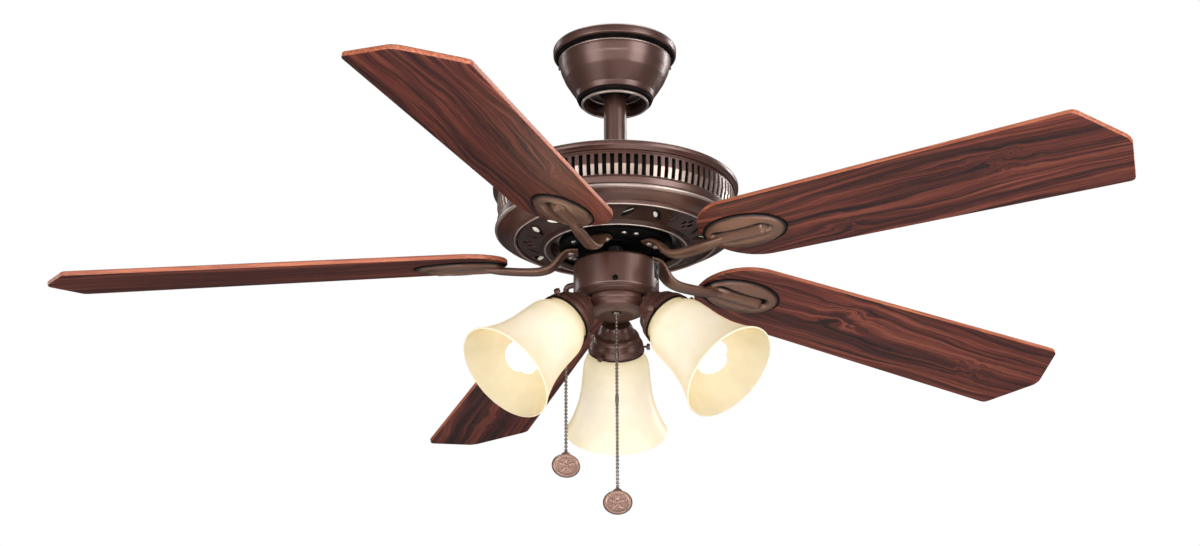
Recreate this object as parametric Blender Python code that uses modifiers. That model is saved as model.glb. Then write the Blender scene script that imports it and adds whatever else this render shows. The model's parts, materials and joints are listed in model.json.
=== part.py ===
"""Five-blade ceiling fan with a three-light kit. Metres, +Z up, origin on the ceiling face."""
import math

import bmesh
import bpy
from mathutils import Matrix, Vector

# ---- Driving dimensions -------------------------------------------------------------------
GAP = 0.0003                  # play between touching pieces
BLADE_PLANE = -0.275          # height of the blades at their irons, below the ceiling

BRACKET_LENGTH = 0.112        # hanger bracket's ceiling plate
BRACKET_WIDTH = 0.046
BRACKET_SHEET = 0.0025
CANOPY_RIM_R = 0.0735
CANOPY_DEPTH = 0.076
CANOPY_SHEET = 0.0012
BALL_R = 0.0235
BALL_Z = -0.046               # centre of the hanger ball, the sway pivot
BALL_SLOT = 0.0065            # slot that the bracket's tab keys into
BALL_PLAY = 0.0007            # lets the faceted ball swing in its faceted seat

ROD_R = 0.01335               # three-quarter-inch pipe
ROD_WALL = 0.0028
ROD_FOOT_Z = BLADE_PLANE + 0.120

HOUSING_R = 0.1385            # vented band of the motor housing
HOUSING_LIP_R = 0.1440
HOUSING_SHEET = 0.0013
LIP_Z = BLADE_PLANE + 0.094
VENT_TOP = BLADE_PLANE + 0.0790
VENT_FOOT = BLADE_PLANE + 0.0545
VENT_COUNT = 48
BAND_FOOT = BLADE_PLANE + 0.0435
BEAD_R = 0.1410               # bright bead under the vented band
RIDGE_R = 0.1180              # ridge around the ornamental plate
RIDGE_Z = BLADE_PLANE + 0.0270
PLATE_HOLE_R = 0.0750
PLATE_HOLE_Z = BLADE_PLANE + 0.0165

SHAFT_R = 0.0100
SHAFT_BORE_R = 0.0060
ROTOR_R = 0.1080
ROTOR_FOOT = BLADE_PLANE + 0.0340
ROTOR_SPLIT = BLADE_PLANE + 0.0620
ROTOR_HEAD = BLADE_PLANE + 0.0900
FLYWHEEL_R = 0.0660
FLYWHEEL_TOP = BLADE_PLANE + 0.0260
FLYWHEEL_FOOT = BLADE_PLANE + 0.0165

BLADE_COUNT = 5
FIRST_BLADE = math.radians(35.0)
BLADE_TIP_R = 0.6604          # half of the 52-inch sweep
BLADE_CORNER_R = 0.6310
BLADE_ROOT_R = 0.1260
BLADE_SHOULDER_R = 0.1870
BLADE_ROOT_HALF = 0.0570
BLADE_TIP_HALF = 0.0700
BLADE_THICK = 0.0060
BLADE_PITCH = math.radians(12.0)
BLADE_DROOP = math.radians(2.3)
IRON_MID_R = 0.1815           # middle of the iron's oval medallion
MEDALLION_HALF_L = 0.0520
MEDALLION_HALF_W = 0.0310

SWITCH_R = 0.0495             # switch housing under the motor
SWITCH_TOP = BLADE_PLANE - 0.0025
SWITCH_FOOT = BLADE_PLANE - 0.0420
SWITCH_SHEET = 0.0012
PAN_R = 0.0475
BOWL_TOP = BLADE_PLANE - 0.0475
BOWL_FOOT = BLADE_PLANE - 0.0660
BOWL_R = 0.0365

LAMP_AZIMUTHS = (90.0, 210.0, 330.0)
LAMP_TILT = math.radians(45.0)
LAMP_R = 0.0430               # where each lamp axis starts, at the narrow end of its cup
LAMP_Z = BLADE_PLANE - 0.0575
CUP_LENGTH = 0.0370
SHADE_NECK_R = 0.0285         # two-and-a-quarter-inch fitter neck
SHADE_MOUTH_R = 0.0610
SHADE_MOUTH = 0.1440          # mouth of the shade along the lamp axis
SHADE_GLASS = 0.0022
BULB_TIP = 0.1310

CHAIN_R = 0.0016
LIGHT_CHAIN_XY = (0.0, -0.0100)
LIGHT_CHAIN_TOP = BLADE_PLANE - 0.0530
LIGHT_FOB_TOP = BLADE_PLANE - 0.2750
FAN_CHAIN_XY = (-0.0585, 0.0335)
FAN_CHAIN_TOP = BLADE_PLANE - 0.0170
FAN_FOB_TOP = BLADE_PLANE - 0.2185
FOB_WIDTH = 0.0340
FOB_HEIGHT = 0.0315
FOB_THICK = 0.0056
PULL_TRAVEL = 0.0120

SLIDER_AZIMUTH = math.radians(-21.0)
SLIDER_Z = BLADE_PLANE - 0.0170
SLIDER_TRAVEL = 0.0050

WIDE_STEPS = 24               # facets around the large shells
ROUND_STEPS = 20              # facets around middle-sized pieces
SMALL_STEPS = 16              # facets around small pieces

# ---- Scene --------------------------------------------------------------------------------
for old in list(bpy.data.objects):
    bpy.data.objects.remove(old, do_unlink=True)

PARTS = bpy.data.collections.new("ceiling_fan_with_light")
CUTTERS = bpy.data.collections.new("cutters")
for group in (PARTS, CUTTERS):
    bpy.context.scene.collection.children.link(group)


def finish(name, colour, roughness, metallic):
    """A plain Principled finish."""
    mat = bpy.data.materials.new(name)
    mat.use_nodes = True
    shader = mat.node_tree.nodes["Principled BSDF"]
    shader.inputs["Base Color"].default_value = (*colour, 1.0)
    shader.inputs["Roughness"].default_value = roughness
    shader.inputs["Metallic"].default_value = metallic
    mat.diffuse_color = (*colour, 1.0)
    return mat


BRONZE = finish("bronze", (0.14, 0.085, 0.065), 0.34, 0.85)
BLACKENED = finish("blackened_steel", (0.03, 0.025, 0.022), 0.5, 0.7)
STEEL = finish("zinc_steel", (0.55, 0.55, 0.56), 0.35, 1.0)
ALUMINIUM = finish("cast_aluminium", (0.62, 0.62, 0.63), 0.45, 1.0)
WALNUT = finish("walnut_veneer", (0.13, 0.045, 0.03), 0.45, 0.0)
COPPER = finish("enamelled_copper", (0.45, 0.17, 0.07), 0.4, 0.9)
PORCELAIN = finish("porcelain", (0.82, 0.80, 0.75), 0.4, 0.0)
PLASTIC = finish("black_plastic", (0.02, 0.02, 0.02), 0.5, 0.0)
GLASS = finish("tea_stained_glass", (0.85, 0.72, 0.45), 0.35, 0.0)
LAMP_WHITE = finish("lamp_white", (0.95, 0.93, 0.86), 0.3, 0.0)
RUBBER = finish("black_rubber", (0.03, 0.03, 0.03), 0.8, 0.0)


# ---- Helpers ------------------------------------------------------------------------------
def put(name, mesh, mat, place=None, cutter=False):
    """Add a mesh as an object, as a part or as a cutter."""
    obj = bpy.data.objects.new(name, mesh)
    if cutter:
        obj.hide_render = True
        obj.display_type = "WIRE"
    (CUTTERS if cutter else PARTS).objects.link(obj)
    if mat:
        mesh.materials.clear()
        mesh.materials.append(mat)
    if place is not None:
        obj.matrix_world = place
    return obj


def soften(obj, angle=35.0):
    """Shade smooth, but keep the real edges sharp."""
    obj.data.shade_smooth()
    obj.data.set_sharp_from_angle(angle=math.radians(angle))


def outline_mesh(name, points, closed):
    mesh = bpy.data.meshes.new(name)
    count = len(points)
    edges = [(i, i + 1) for i in range(count - 1)]
    if closed:
        edges.append((count - 1, 0))
    mesh.from_pydata([(r, 0.0, z) for r, z in points], edges, [])
    return mesh


def turned(name, points, mat, steps=32, ring=True, place=None, cutter=False):
    """Turn a profile about local Z: down its outer side, then back up its bore if a ring."""
    obj = put(name, outline_mesh(name, points, ring), mat, place, cutter)
    screw = obj.modifiers.new("turn", "SCREW")
    screw.steps = steps
    screw.render_steps = steps
    screw.use_merge_vertices = True
    screw.merge_threshold = 0.00001
    screw.use_smooth_shade = True
    return obj


def box(name, size, mat, place=None, cutter=False, bevel=0.0):
    mesh = bpy.data.meshes.new(name)
    bm = bmesh.new()
    bmesh.ops.create_cube(bm, size=1.0, matrix=Matrix.Diagonal((*size, 1.0)))
    bm.to_mesh(mesh)
    bm.free()
    obj = put(name, mesh, mat, place, cutter)
    if bevel:
        edge = obj.modifiers.new("edges", "BEVEL")
        edge.width = bevel
        edge.segments = 1
    return obj


def drum(name, radius, height, mat, place=None, cutter=False, sides=24):
    """A plain cylinder centred on its place."""
    mesh = bpy.data.meshes.new(name)
    bm = bmesh.new()
    bmesh.ops.create_cone(bm, cap_ends=True, segments=sides, radius1=radius,
                          radius2=radius, depth=height)
    bm.to_mesh(mesh)
    bm.free()
    obj = put(name, mesh, mat, place, cutter)
    soften(obj)
    return obj


def slab(name, points, thickness, mat, place=None, cutter=False, bevel=0.0):
    """A flat outline in XY, thickened equally to both sides, as a mesh."""
    curve = bpy.data.curves.new(name, "CURVE")
    curve.dimensions = "2D"
    curve.fill_mode = "BOTH"
    curve.extrude = thickness / 2.0
    spline = curve.splines.new("POLY")
    spline.points.add(len(points) - 1)
    for point, (x, y) in zip(spline.points, points):
        point.co = (x, y, 0.0, 1.0)
    spline.use_cyclic_u = True
    mesh = curve_mesh(name, curve)
    obj = put(name, mesh, mat, place, cutter)
    if bevel:
        edge = obj.modifiers.new("edges", "BEVEL")
        edge.width = bevel
        edge.segments = 1
        edge.limit_method = "ANGLE"
        edge.angle_limit = math.radians(60.0)
    return obj


def curve_mesh(name, curve):
    """The evaluated mesh of a curve, with its caps welded; the curve itself is removed."""
    holder = bpy.data.objects.new(name + "_curve", curve)
    PARTS.objects.link(holder)
    bpy.context.view_layer.update()
    depsgraph = bpy.context.evaluated_depsgraph_get()
    mesh = bpy.data.meshes.new_from_object(holder.evaluated_get(depsgraph))
    mesh.name = name
    bpy.data.objects.remove(holder, do_unlink=True)
    bm = bmesh.new()
    bm.from_mesh(mesh)
    bmesh.ops.remove_doubles(bm, verts=bm.verts, dist=0.00001)
    bmesh.ops.recalc_face_normals(bm, faces=bm.faces)
    bm.to_mesh(mesh)
    bm.free()
    return mesh


def tube(name, points, radius, mat, resolution=2, cutter=False):
    """A round bar along the points, with closed ends."""
    curve = bpy.data.curves.new(name, "CURVE")
    curve.dimensions = "3D"
    curve.bevel_depth = radius
    curve.bevel_resolution = resolution
    curve.use_fill_caps = True
    spline = curve.splines.new("POLY")
    spline.points.add(len(points) - 1)
    for point, place in zip(spline.points, points):
        point.co = (*place, 1.0)
    obj = put(name, curve_mesh(name, curve), mat, cutter=cutter)
    soften(obj, 50.0)
    return obj


def combine(obj, other, operation):
    """One exact Boolean of an object with another object."""
    step = obj.modifiers.new(operation.lower(), "BOOLEAN")
    step.operation = operation
    step.solver = "EXACT"
    step.object = other


def cut(obj, *cutters):
    for cutter in cutters:
        combine(obj, cutter, "DIFFERENCE")


def join(obj, *others):
    for other in others:
        combine(obj, other, "UNION")


def spot(x=0.0, y=0.0, z=0.0):
    return Matrix.Translation((x, y, z))


def turn(angle, axis="Z"):
    return Matrix.Rotation(angle, 4, axis)


def arc(centre, radius, start, end, count):
    """Points of an arc in the plane, from start to end in degrees."""
    angles = [math.radians(start + (end - start) * i / (count - 1)) for i in range(count)]
    return [(centre[0] + radius * math.cos(a), centre[1] + radius * math.sin(a)) for a in angles]


def ring_section(outer, inner, top, foot):
    """A plain rectangular ring."""
    return [(outer, top), (outer, foot), (inner, foot), (inner, top)]


def shell_section(outer, thickness):
    """A sheet-metal profile: the outer line down, then the inner line back up."""
    inner = []
    last = len(outer) - 1
    for i, (r, z) in enumerate(outer):
        before = outer[max(i - 1, 0)]
        after = outer[min(i + 1, last)]
        run = Vector((after[0] - before[0], after[1] - before[1])).normalized()
        inner.append((r + run.y * thickness, z - run.x * thickness))
    return outer + inner[::-1]


# ---- Hanger: fixed to the ceiling ------------------------------------------------------------
def make_hanger():
    """The ceiling plate with its two legs and the seat ring that the ball rests in."""
    plate = box("hanger_bracket", (BRACKET_LENGTH, BRACKET_WIDTH, BRACKET_SHEET), STEEL,
                spot(z=-BRACKET_SHEET / 2.0))
    seat_top = BALL_Z + 0.004
    seat_foot = BALL_Z - 0.014
    leg_x = 0.0330
    leg_width = 0.020
    leg_height = -BRACKET_SHEET - seat_top + 0.006
    for side in (-1, 1):
        leg = box(f"hanger_leg_{side}", (BRACKET_SHEET, leg_width, leg_height), STEEL,
                  spot(side * leg_x, 0.0, -BRACKET_SHEET - leg_height / 2.0 + 0.0005), cutter=True)
        join(plate, leg)
    bore = BALL_R + BALL_PLAY
    seat = [(leg_x + 0.0020, seat_top), (leg_x - 0.0010, seat_foot)]
    low, high = math.asin(-0.0130 / bore), math.asin(0.0030 / bore)
    steps = 4
    for i in range(steps + 1):
        a = low + (high - low) * i / steps
        seat.append((bore * math.cos(a), BALL_Z + bore * math.sin(a)))
    ring = turned("hanger_seat", seat, STEEL, ROUND_STEPS, cutter=True)
    join(plate, ring)
    hole = drum("hanger_wire_hole", 0.0065, 0.02, None, spot(0.0, 0.0140, 0.0), True, 12)
    cut(plate, hole)
    for side in (-1, 1):
        slot_hole = box(f"hanger_screw_slot_{side}", (0.012, 0.005, 0.02), None,
                        spot(side * 0.0455, 0.0, 0.0), True)
        cut(plate, slot_hole)
    tab = box("hanger_tab", (0.0060, BALL_SLOT / 2.0, 0.0040), STEEL,
              spot(BALL_R + 0.0005, 0.0, BALL_Z - 0.0010), cutter=True)
    join(plate, tab)
    soften(plate)


def canopy_outline():
    """The canopy's outer line from its rim at the ceiling to its bottom edge."""
    top = -0.0010
    foot = -CANOPY_DEPTH
    rim = [(CANOPY_RIM_R - 0.0035, top)]
    rim += arc((CANOPY_RIM_R - 0.0045, top - 0.0050), 0.0045, 45.0, -45.0, 3)
    rim += [(0.0665, top - 0.0130), (0.0648, top - 0.0150)]
    bowl = [(0.0652, -0.0190), (0.0640, -0.0290), (0.0590, -0.0430), (0.0530, -0.0530),
            (0.0465, -0.0630), (0.0435, foot + 0.0060)]
    return rim + bowl


def make_canopy():
    foot = -CANOPY_DEPTH
    back = [(0.0435 - CANOPY_SHEET, foot + 0.0060), (0.0515, -0.0530), (0.0624, -0.0300),
            (0.0632, -0.0150), (CANOPY_RIM_R - 0.0045, -0.0100), (CANOPY_RIM_R - 0.0045, -0.0010)]
    turned("canopy", canopy_outline() + back, BRONZE, WIDE_STEPS)
    ring = [(0.0414, foot + 0.0085), (0.0424, foot + 0.0060 - GAP), (0.0428, foot + 0.0025),
            (0.0405, foot), (0.0360, foot), (0.0345, foot + 0.0015), (0.0345, foot + 0.0040),
            (0.0386, foot + 0.0060), (0.0396, foot + 0.0085)]
    turned("canopy_ring", ring, BRONZE, WIDE_STEPS)
    head = [(0.0, 0.0022), (0.0028, 0.0018), (0.0042, 0.0), (0.0020, -0.0002), (0.0020, -0.0004),
            (0.0, -0.0004)]
    for index, side in enumerate((-1, 1), 1):
        place = spot(side * (0.0653 + GAP), 0.0, -0.0260) @ turn(side * math.pi / 2.0, "Y")
        turned(f"canopy_screw_{index}", head, BRONZE, 10, ring=False, place=place)


# ---- Stem: ball, rod, coupling and shaft -------------------------------------------------------
def make_stem():
    bore = ROD_R + GAP
    lift = math.degrees(math.acos(bore / BALL_R))
    ball_points = [(x, BALL_Z + z) for x, z in arc((0.0, 0.0), BALL_R, lift, -lift, 9)]
    ball = turned("hanger_ball", ball_points, PLASTIC, ROUND_STEPS)
    slot = box("hanger_ball_slot", (0.014, BALL_SLOT, 0.0600), None,
               spot(BALL_R + 0.0030, 0.0, BALL_Z), True)
    cut(ball, slot)
    rod_top = BALL_Z + 0.0300
    rod = [(ROD_R, rod_top), (ROD_R, ROD_FOOT_Z), (ROD_R - ROD_WALL, ROD_FOOT_Z),
           (ROD_R - ROD_WALL, rod_top)]
    downrod = turned("downrod", rod, BRONZE, ROUND_STEPS)
    pin_z = BALL_Z + 0.0240
    pin_bore = drum("downrod_pin_hole", 0.0030 + GAP, 0.04, None,
                    spot(z=pin_z) @ turn(math.pi / 2.0, "X"), True, 8)
    cut(downrod, pin_bore)
    drum("ball_cross_pin", 0.0030, 0.0340, STEEL, spot(z=pin_z) @ turn(math.pi / 2.0, "X"),
         sides=8)
    collar_r = 0.0210
    collar_top = BLADE_PLANE + 0.1400
    collar = [(collar_r - 0.0020, collar_top), (collar_r, collar_top - 0.0020),
              (collar_r, BLADE_PLANE + 0.1175), (0.0300, BLADE_PLANE + 0.1160),
              (0.0300, BLADE_PLANE + 0.1120), (SHAFT_R + GAP, BLADE_PLANE + 0.1120),
              (SHAFT_R + GAP, ROD_FOOT_Z - GAP), (ROD_R + GAP, ROD_FOOT_Z - GAP),
              (ROD_R + GAP, collar_top)]
    yoke = turned("yoke_coupling", collar, BLACKENED, ROUND_STEPS)
    bolt_z = BLADE_PLANE + 0.1330
    bolt_hole = drum("yoke_bolt_hole", 0.0033, 0.06, None,
                     spot(z=bolt_z) @ turn(math.pi / 2.0, "Y"), True, 8)
    cut(yoke, bolt_hole)
    cut(downrod, bolt_hole)
    bolt = drum("yoke_bolt", 0.0030, 0.0480, STEEL, spot(z=bolt_z) @ turn(math.pi / 2.0, "Y"),
                sides=8)
    bolt_head = drum("yoke_bolt_head", 0.0055, 0.0035, STEEL,
                     spot(-0.0235, 0.0, bolt_z) @ turn(math.pi / 2.0, "Y"), True, 6)
    join(bolt, bolt_head)
    shaft = [(SHAFT_R, ROD_FOOT_Z - 2.0 * GAP), (SHAFT_R, SWITCH_TOP + GAP),
             (0.0080, SWITCH_TOP + GAP), (0.0080, SWITCH_TOP - 0.0080),
             (SHAFT_BORE_R, SWITCH_TOP - 0.0080), (SHAFT_BORE_R, ROD_FOOT_Z - 2.0 * GAP)]
    turned("motor_shaft", shaft, STEEL, SMALL_STEPS)


# ---- Motor housing: fixed shells ----------------------------------------------------------------
def make_housing():
    top = BLADE_PLANE + 0.1160 - GAP
    dome_line = [(0.0305, top - 0.0030), (0.0600, top - 0.0050), (0.0950, top - 0.0090),
                 (0.1250, top - 0.0145)]
    dome_line += arc((HOUSING_LIP_R - 0.0045, LIP_Z - 0.0030), 0.0045, 45.0, -45.0, 3)
    dome_line += [(HOUSING_R + 0.0006, LIP_Z - 0.0100)]
    inner = [(HOUSING_R - HOUSING_SHEET, LIP_Z - 0.0100), (HOUSING_R - 0.0012, LIP_Z - 0.0040),
             (0.1355, LIP_Z - 0.0006), (0.1235, top - 0.0160), (0.0940, top - 0.0106),
             (0.0600, top - 0.0065), (0.0210, top - 0.0048), (0.0210, top - 0.0042),
             (0.0305, top - 0.0042)]
    turned("housing_dome", dome_line + inner, BRONZE, WIDE_STEPS)
    rim_top = LIP_Z - 0.0100 - GAP
    band = turned("housing_vent_band",
                  ring_section(HOUSING_R, HOUSING_R - HOUSING_SHEET, rim_top, BAND_FOOT),
                  BRONZE, VENT_COUNT)
    vents = bpy.data.meshes.new("vent_slots")
    bm = bmesh.new()
    slot_height = VENT_TOP - VENT_FOOT
    pitch = 2.0 * math.pi / VENT_COUNT
    slot_width = HOUSING_R * pitch * 0.48
    for i in range(VENT_COUNT):
        place = turn((i + 0.5) * pitch) @ spot(HOUSING_R, 0.0, (VENT_TOP + VENT_FOOT) / 2.0)
        size = Matrix.Diagonal((0.0080, slot_width, slot_height, 1.0))
        bmesh.ops.create_cube(bm, size=1.0, matrix=place @ size)
    bm.to_mesh(vents)
    bm.free()
    cut(band, put("vent_slots", vents, None, cutter=True))
    cove_top = BAND_FOOT - GAP
    lower = [(BEAD_R - 0.0020, cove_top)]
    lower += arc((BEAD_R - 0.0024, cove_top - 0.0030), 0.0024, 50.0, -70.0, 3)
    lower += [(0.1370, cove_top - 0.0062), (0.1310, cove_top - 0.0110),
              (0.1215, cove_top - 0.0138)]
    lower += arc((RIDGE_R, RIDGE_Z + 0.0012), 0.0022, -20.0, -160.0, 3)
    back = [(RIDGE_R - 0.0022, RIDGE_Z + 0.0030), (0.1220, RIDGE_Z + 0.0042),
            (0.1345, cove_top - 0.0050), (0.1352, cove_top)]
    turned("housing_lower_ring", lower + back, BRONZE, WIDE_STEPS)
    plate_r = RIDGE_R - 0.0030
    plate_top = RIDGE_Z + 0.0026
    thick = 0.0016
    plate = [(plate_r, plate_top), (plate_r, plate_top - thick),
             (0.0860, PLATE_HOLE_Z + 0.0020), (0.0835, PLATE_HOLE_Z - 0.0008),
             (0.0790, PLATE_HOLE_Z - 0.0012), (PLATE_HOLE_R, PLATE_HOLE_Z + 0.0010),
             (PLATE_HOLE_R, PLATE_HOLE_Z + 0.0030), (0.0840, PLATE_HOLE_Z + 0.0040)]
    face = turned("housing_bottom_plate", plate, BRONZE, WIDE_STEPS)
    holes = bpy.data.meshes.new("ornament_holes")
    bm = bmesh.new()
    leaf = Matrix.Diagonal((0.0110, 0.0042, 1.0, 1.0))
    for i in range(BLADE_COUNT):
        middle = FIRST_BLADE + math.radians(1.0) + i * 2.0 * math.pi / BLADE_COUNT
        for side in (-1, 1):
            place = turn(middle + side * math.radians(26.0)) @ spot(0.0995, 0.0, RIDGE_Z)
            place = place @ turn(side * math.radians(38.0)) @ leaf
            bmesh.ops.create_cone(bm, cap_ends=True, segments=6, radius1=1.0, radius2=1.0,
                                  depth=0.06, matrix=place)
        for lobe in range(4):
            place = turn(middle) @ spot(0.1000, 0.0, RIDGE_Z) @ turn(lobe * math.pi / 2.0)
            place = place @ spot(0.0052, 0.0, 0.0)
            bmesh.ops.create_cone(bm, cap_ends=True, segments=5, radius1=0.0026,
                                  radius2=0.0026, depth=0.06, matrix=place)
    bm.to_mesh(holes)
    bm.free()
    cut(face, put("ornament_holes", holes, None, cutter=True))


# ---- Motor: stator fixed, case and flywheel turning ---------------------------------------------
def make_motor():
    core_top = BLADE_PLANE + 0.0740
    core_foot = BLADE_PLANE + 0.0500
    web_top = BLADE_PLANE + 0.0640
    web_foot = BLADE_PLANE + 0.0600
    bore = SHAFT_R + GAP
    core = [(0.0820, core_top - 0.0050), (0.0820, core_foot + 0.0050), (0.0740, core_foot),
            (0.0560, core_foot), (0.0500, web_foot), (bore, web_foot), (bore, web_top),
            (0.0500, web_top), (0.0560, core_top), (0.0740, core_top)]
    turned("stator_winding", core, COPPER, ROUND_STEPS)
    bearing_out = 0.0170
    seats = (("upper_bearing", ROTOR_HEAD - 0.0010), ("lower_bearing", ROTOR_FOOT + 0.0080))
    for name, top in seats:
        turned(name, ring_section(bearing_out, SHAFT_R + GAP, top, top - 0.0070), STEEL, SMALL_STEPS)
    wall = 0.0020
    seat_r = bearing_out + GAP
    upper = [(seat_r + 0.0030, ROTOR_HEAD + 0.0010), (0.0900, ROTOR_HEAD),
             (ROTOR_R, ROTOR_HEAD - 0.0090),
             (ROTOR_R, ROTOR_SPLIT + GAP), (ROTOR_R - wall, ROTOR_SPLIT + GAP),
             (ROTOR_R - wall, ROTOR_HEAD - 0.0100),
             (0.0890, ROTOR_HEAD - wall - 0.0005), (0.0230, ROTOR_HEAD - wall - 0.0005),
             (0.0230, ROTOR_HEAD - 0.0090), (seat_r, ROTOR_HEAD - 0.0090),
             (seat_r, ROTOR_HEAD + 0.0010)]
    turned("rotor_case_top", upper, ALUMINIUM, WIDE_STEPS)
    boss_r = 0.0300
    lower = [(ROTOR_R + 0.0010, ROTOR_SPLIT), (ROTOR_R + 0.0010, ROTOR_FOOT + 0.0080),
             (0.1000, ROTOR_FOOT),
             (boss_r + 0.0030, ROTOR_FOOT), (boss_r, FLYWHEEL_TOP + GAP),
             (SHAFT_R + 0.0020, FLYWHEEL_TOP + GAP), (SHAFT_R + 0.0020, ROTOR_FOOT + 0.0006),
             (seat_r, ROTOR_FOOT + 0.0006), (seat_r, ROTOR_FOOT + 0.0080),
             (0.0230, ROTOR_FOOT + 0.0080), (0.0230, ROTOR_FOOT + wall + 0.0005),
             (0.0990, ROTOR_FOOT + wall + 0.0005), (ROTOR_R - wall, ROTOR_FOOT + 0.0090),
             (ROTOR_R - wall, ROTOR_SPLIT)]
    turned("rotor_case_bottom", lower, ALUMINIUM, WIDE_STEPS)
    wheel = [(FLYWHEEL_R - 0.0010, FLYWHEEL_TOP), (FLYWHEEL_R, FLYWHEEL_TOP - 0.0010),
             (FLYWHEEL_R, FLYWHEEL_FOOT + 0.0010), (FLYWHEEL_R - 0.0010, FLYWHEEL_FOOT),
             (SHAFT_R + 0.0035, FLYWHEEL_FOOT), (SHAFT_R + 0.0035, FLYWHEEL_TOP)]
    turned("flywheel", wheel, RUBBER, WIDE_STEPS)


# ---- Blades and their irons --------------------------------------------------------------------
def blade_place(azimuth):
    """The frame of a blade: X out along it, pitched and drooping, Z out of its top."""
    droop = spot(IRON_MID_R, 0.0, BLADE_PLANE) @ turn(BLADE_DROOP, "Y") @ spot(-IRON_MID_R)
    return turn(azimuth) @ droop @ turn(-BLADE_PITCH, "X")


def blade_outline():
    """Half a blade: rounded root, widening edge and a low gable tip, mirrored to the other side."""
    half = []
    steps = 7
    for i in range(steps):
        a = math.radians(90.0) * i / (steps - 1)
        reach = BLADE_SHOULDER_R - BLADE_ROOT_R
        half.append((BLADE_SHOULDER_R - reach * math.cos(a), BLADE_ROOT_HALF * math.sin(a)))
    half += [(BLADE_CORNER_R - 0.0060, BLADE_TIP_HALF),
             (BLADE_CORNER_R + 0.0025, BLADE_TIP_HALF - 0.0055)]
    half += [(BLADE_TIP_R - 0.0025, 0.0090)]
    other = [(x, -y) for x, y in reversed(half[1:])]
    return half + [(BLADE_TIP_R, 0.0)] + other


def oval(half_l, half_w, count):
    return [(half_l * math.cos(2.0 * math.pi * i / count),
             half_w * math.sin(2.0 * math.pi * i / count)) for i in range(count)]


def arm_mesh(name):
    """The iron's arm: a rounded bar lofted from its foot on the flywheel to the medallion."""
    foot_z = 0.0120
    stations = [(0.0440, foot_z, 0.0115), (0.0580, foot_z - 0.0005, 0.0115),
                (0.0650, foot_z - 0.0060, 0.0105), (0.0710, foot_z - 0.0140, 0.0095),
                (0.0790, foot_z - 0.0200, 0.0085), (0.0920, foot_z - 0.0230, 0.0075),
                (0.1080, foot_z - 0.0225, 0.0070), (0.1300, foot_z - 0.0212, 0.0070),
                (0.1460, foot_z - 0.0205, 0.0060)]
    thick = 0.0026
    bm = bmesh.new()
    rows = []
    last = len(stations) - 1
    for i, (x, z, half) in enumerate(stations):
        before = stations[max(i - 1, 0)]
        after = stations[min(i + 1, last)]
        run = Vector((after[0] - before[0], 0.0, after[1] - before[1])).normalized()
        up = Vector((-run.z, 0.0, run.x))
        lean = -BLADE_PITCH * min(max((x - 0.0650) / 0.0450, 0.0), 1.0)
        side = Vector((0.0, math.cos(lean), math.sin(lean)))
        up = Matrix.Rotation(lean, 3, run) @ up
        middle = Vector((x, 0.0, z))
        ring = [(-half, -0.4 * thick), (-0.7 * half, -thick), (0.7 * half, -thick),
                (half, -0.4 * thick), (half, 0.4 * thick), (0.7 * half, thick),
                (-0.7 * half, thick), (-half, 0.4 * thick)]
        rows.append([bm.verts.new(middle + side * a + up * b) for a, b in ring])
    for row, following in zip(rows, rows[1:]):
        for k in range(8):
            nxt = (k + 1) % 8
            bm.faces.new((row[k], row[nxt], following[nxt], following[k]))
    bm.faces.new(rows[0])
    bm.faces.new(rows[-1])
    bmesh.ops.recalc_face_normals(bm, faces=bm.faces)
    mesh = bpy.data.meshes.new(name)
    bm.to_mesh(mesh)
    bm.free()
    return mesh


def medallion_mesh(name):
    """The oval plate under the blade root: flat on top, crowned below."""
    top = -BLADE_THICK / 2.0 - GAP
    layers = [(top, 0.97), (top - 0.0015, 1.0), (top - 0.0040, 0.94), (top - 0.0065, 0.72)]
    sides = 16
    bm = bmesh.new()
    rows = []
    for z, scale in layers:
        points = oval(MEDALLION_HALF_L * scale, MEDALLION_HALF_W * scale, sides)
        rows.append([bm.verts.new((IRON_MID_R + x, y, z)) for x, y in points])
    for row, below in zip(rows, rows[1:]):
        for k in range(sides):
            nxt = (k + 1) % sides
            bm.faces.new((row[k], below[k], below[nxt], row[nxt]))
    bm.faces.new(rows[0])
    bm.faces.new(rows[-1])
    bmesh.ops.recalc_face_normals(bm, faces=bm.faces)
    mesh = bpy.data.meshes.new(name)
    bm.to_mesh(mesh)
    bm.free()
    return mesh


def make_blades():
    outline = blade_outline()
    arm = arm_mesh("iron_arm")
    medallion = medallion_mesh("iron_medallion")
    for i in range(BLADE_COUNT):
        azimuth = FIRST_BLADE + i * 2.0 * math.pi / BLADE_COUNT
        place = blade_place(azimuth)
        slab(f"blade_{i + 1}", outline, BLADE_THICK, WALNUT, place, bevel=0.0008)
        iron = put(f"blade_iron_{i + 1}", arm.copy(), BRONZE, turn(azimuth) @ spot(z=BLADE_PLANE))
        plate = put(f"iron_medallion_{i + 1}", medallion.copy(), BRONZE, place, cutter=True)
        join(iron, plate)
        soften(iron, 40.0)


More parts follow.
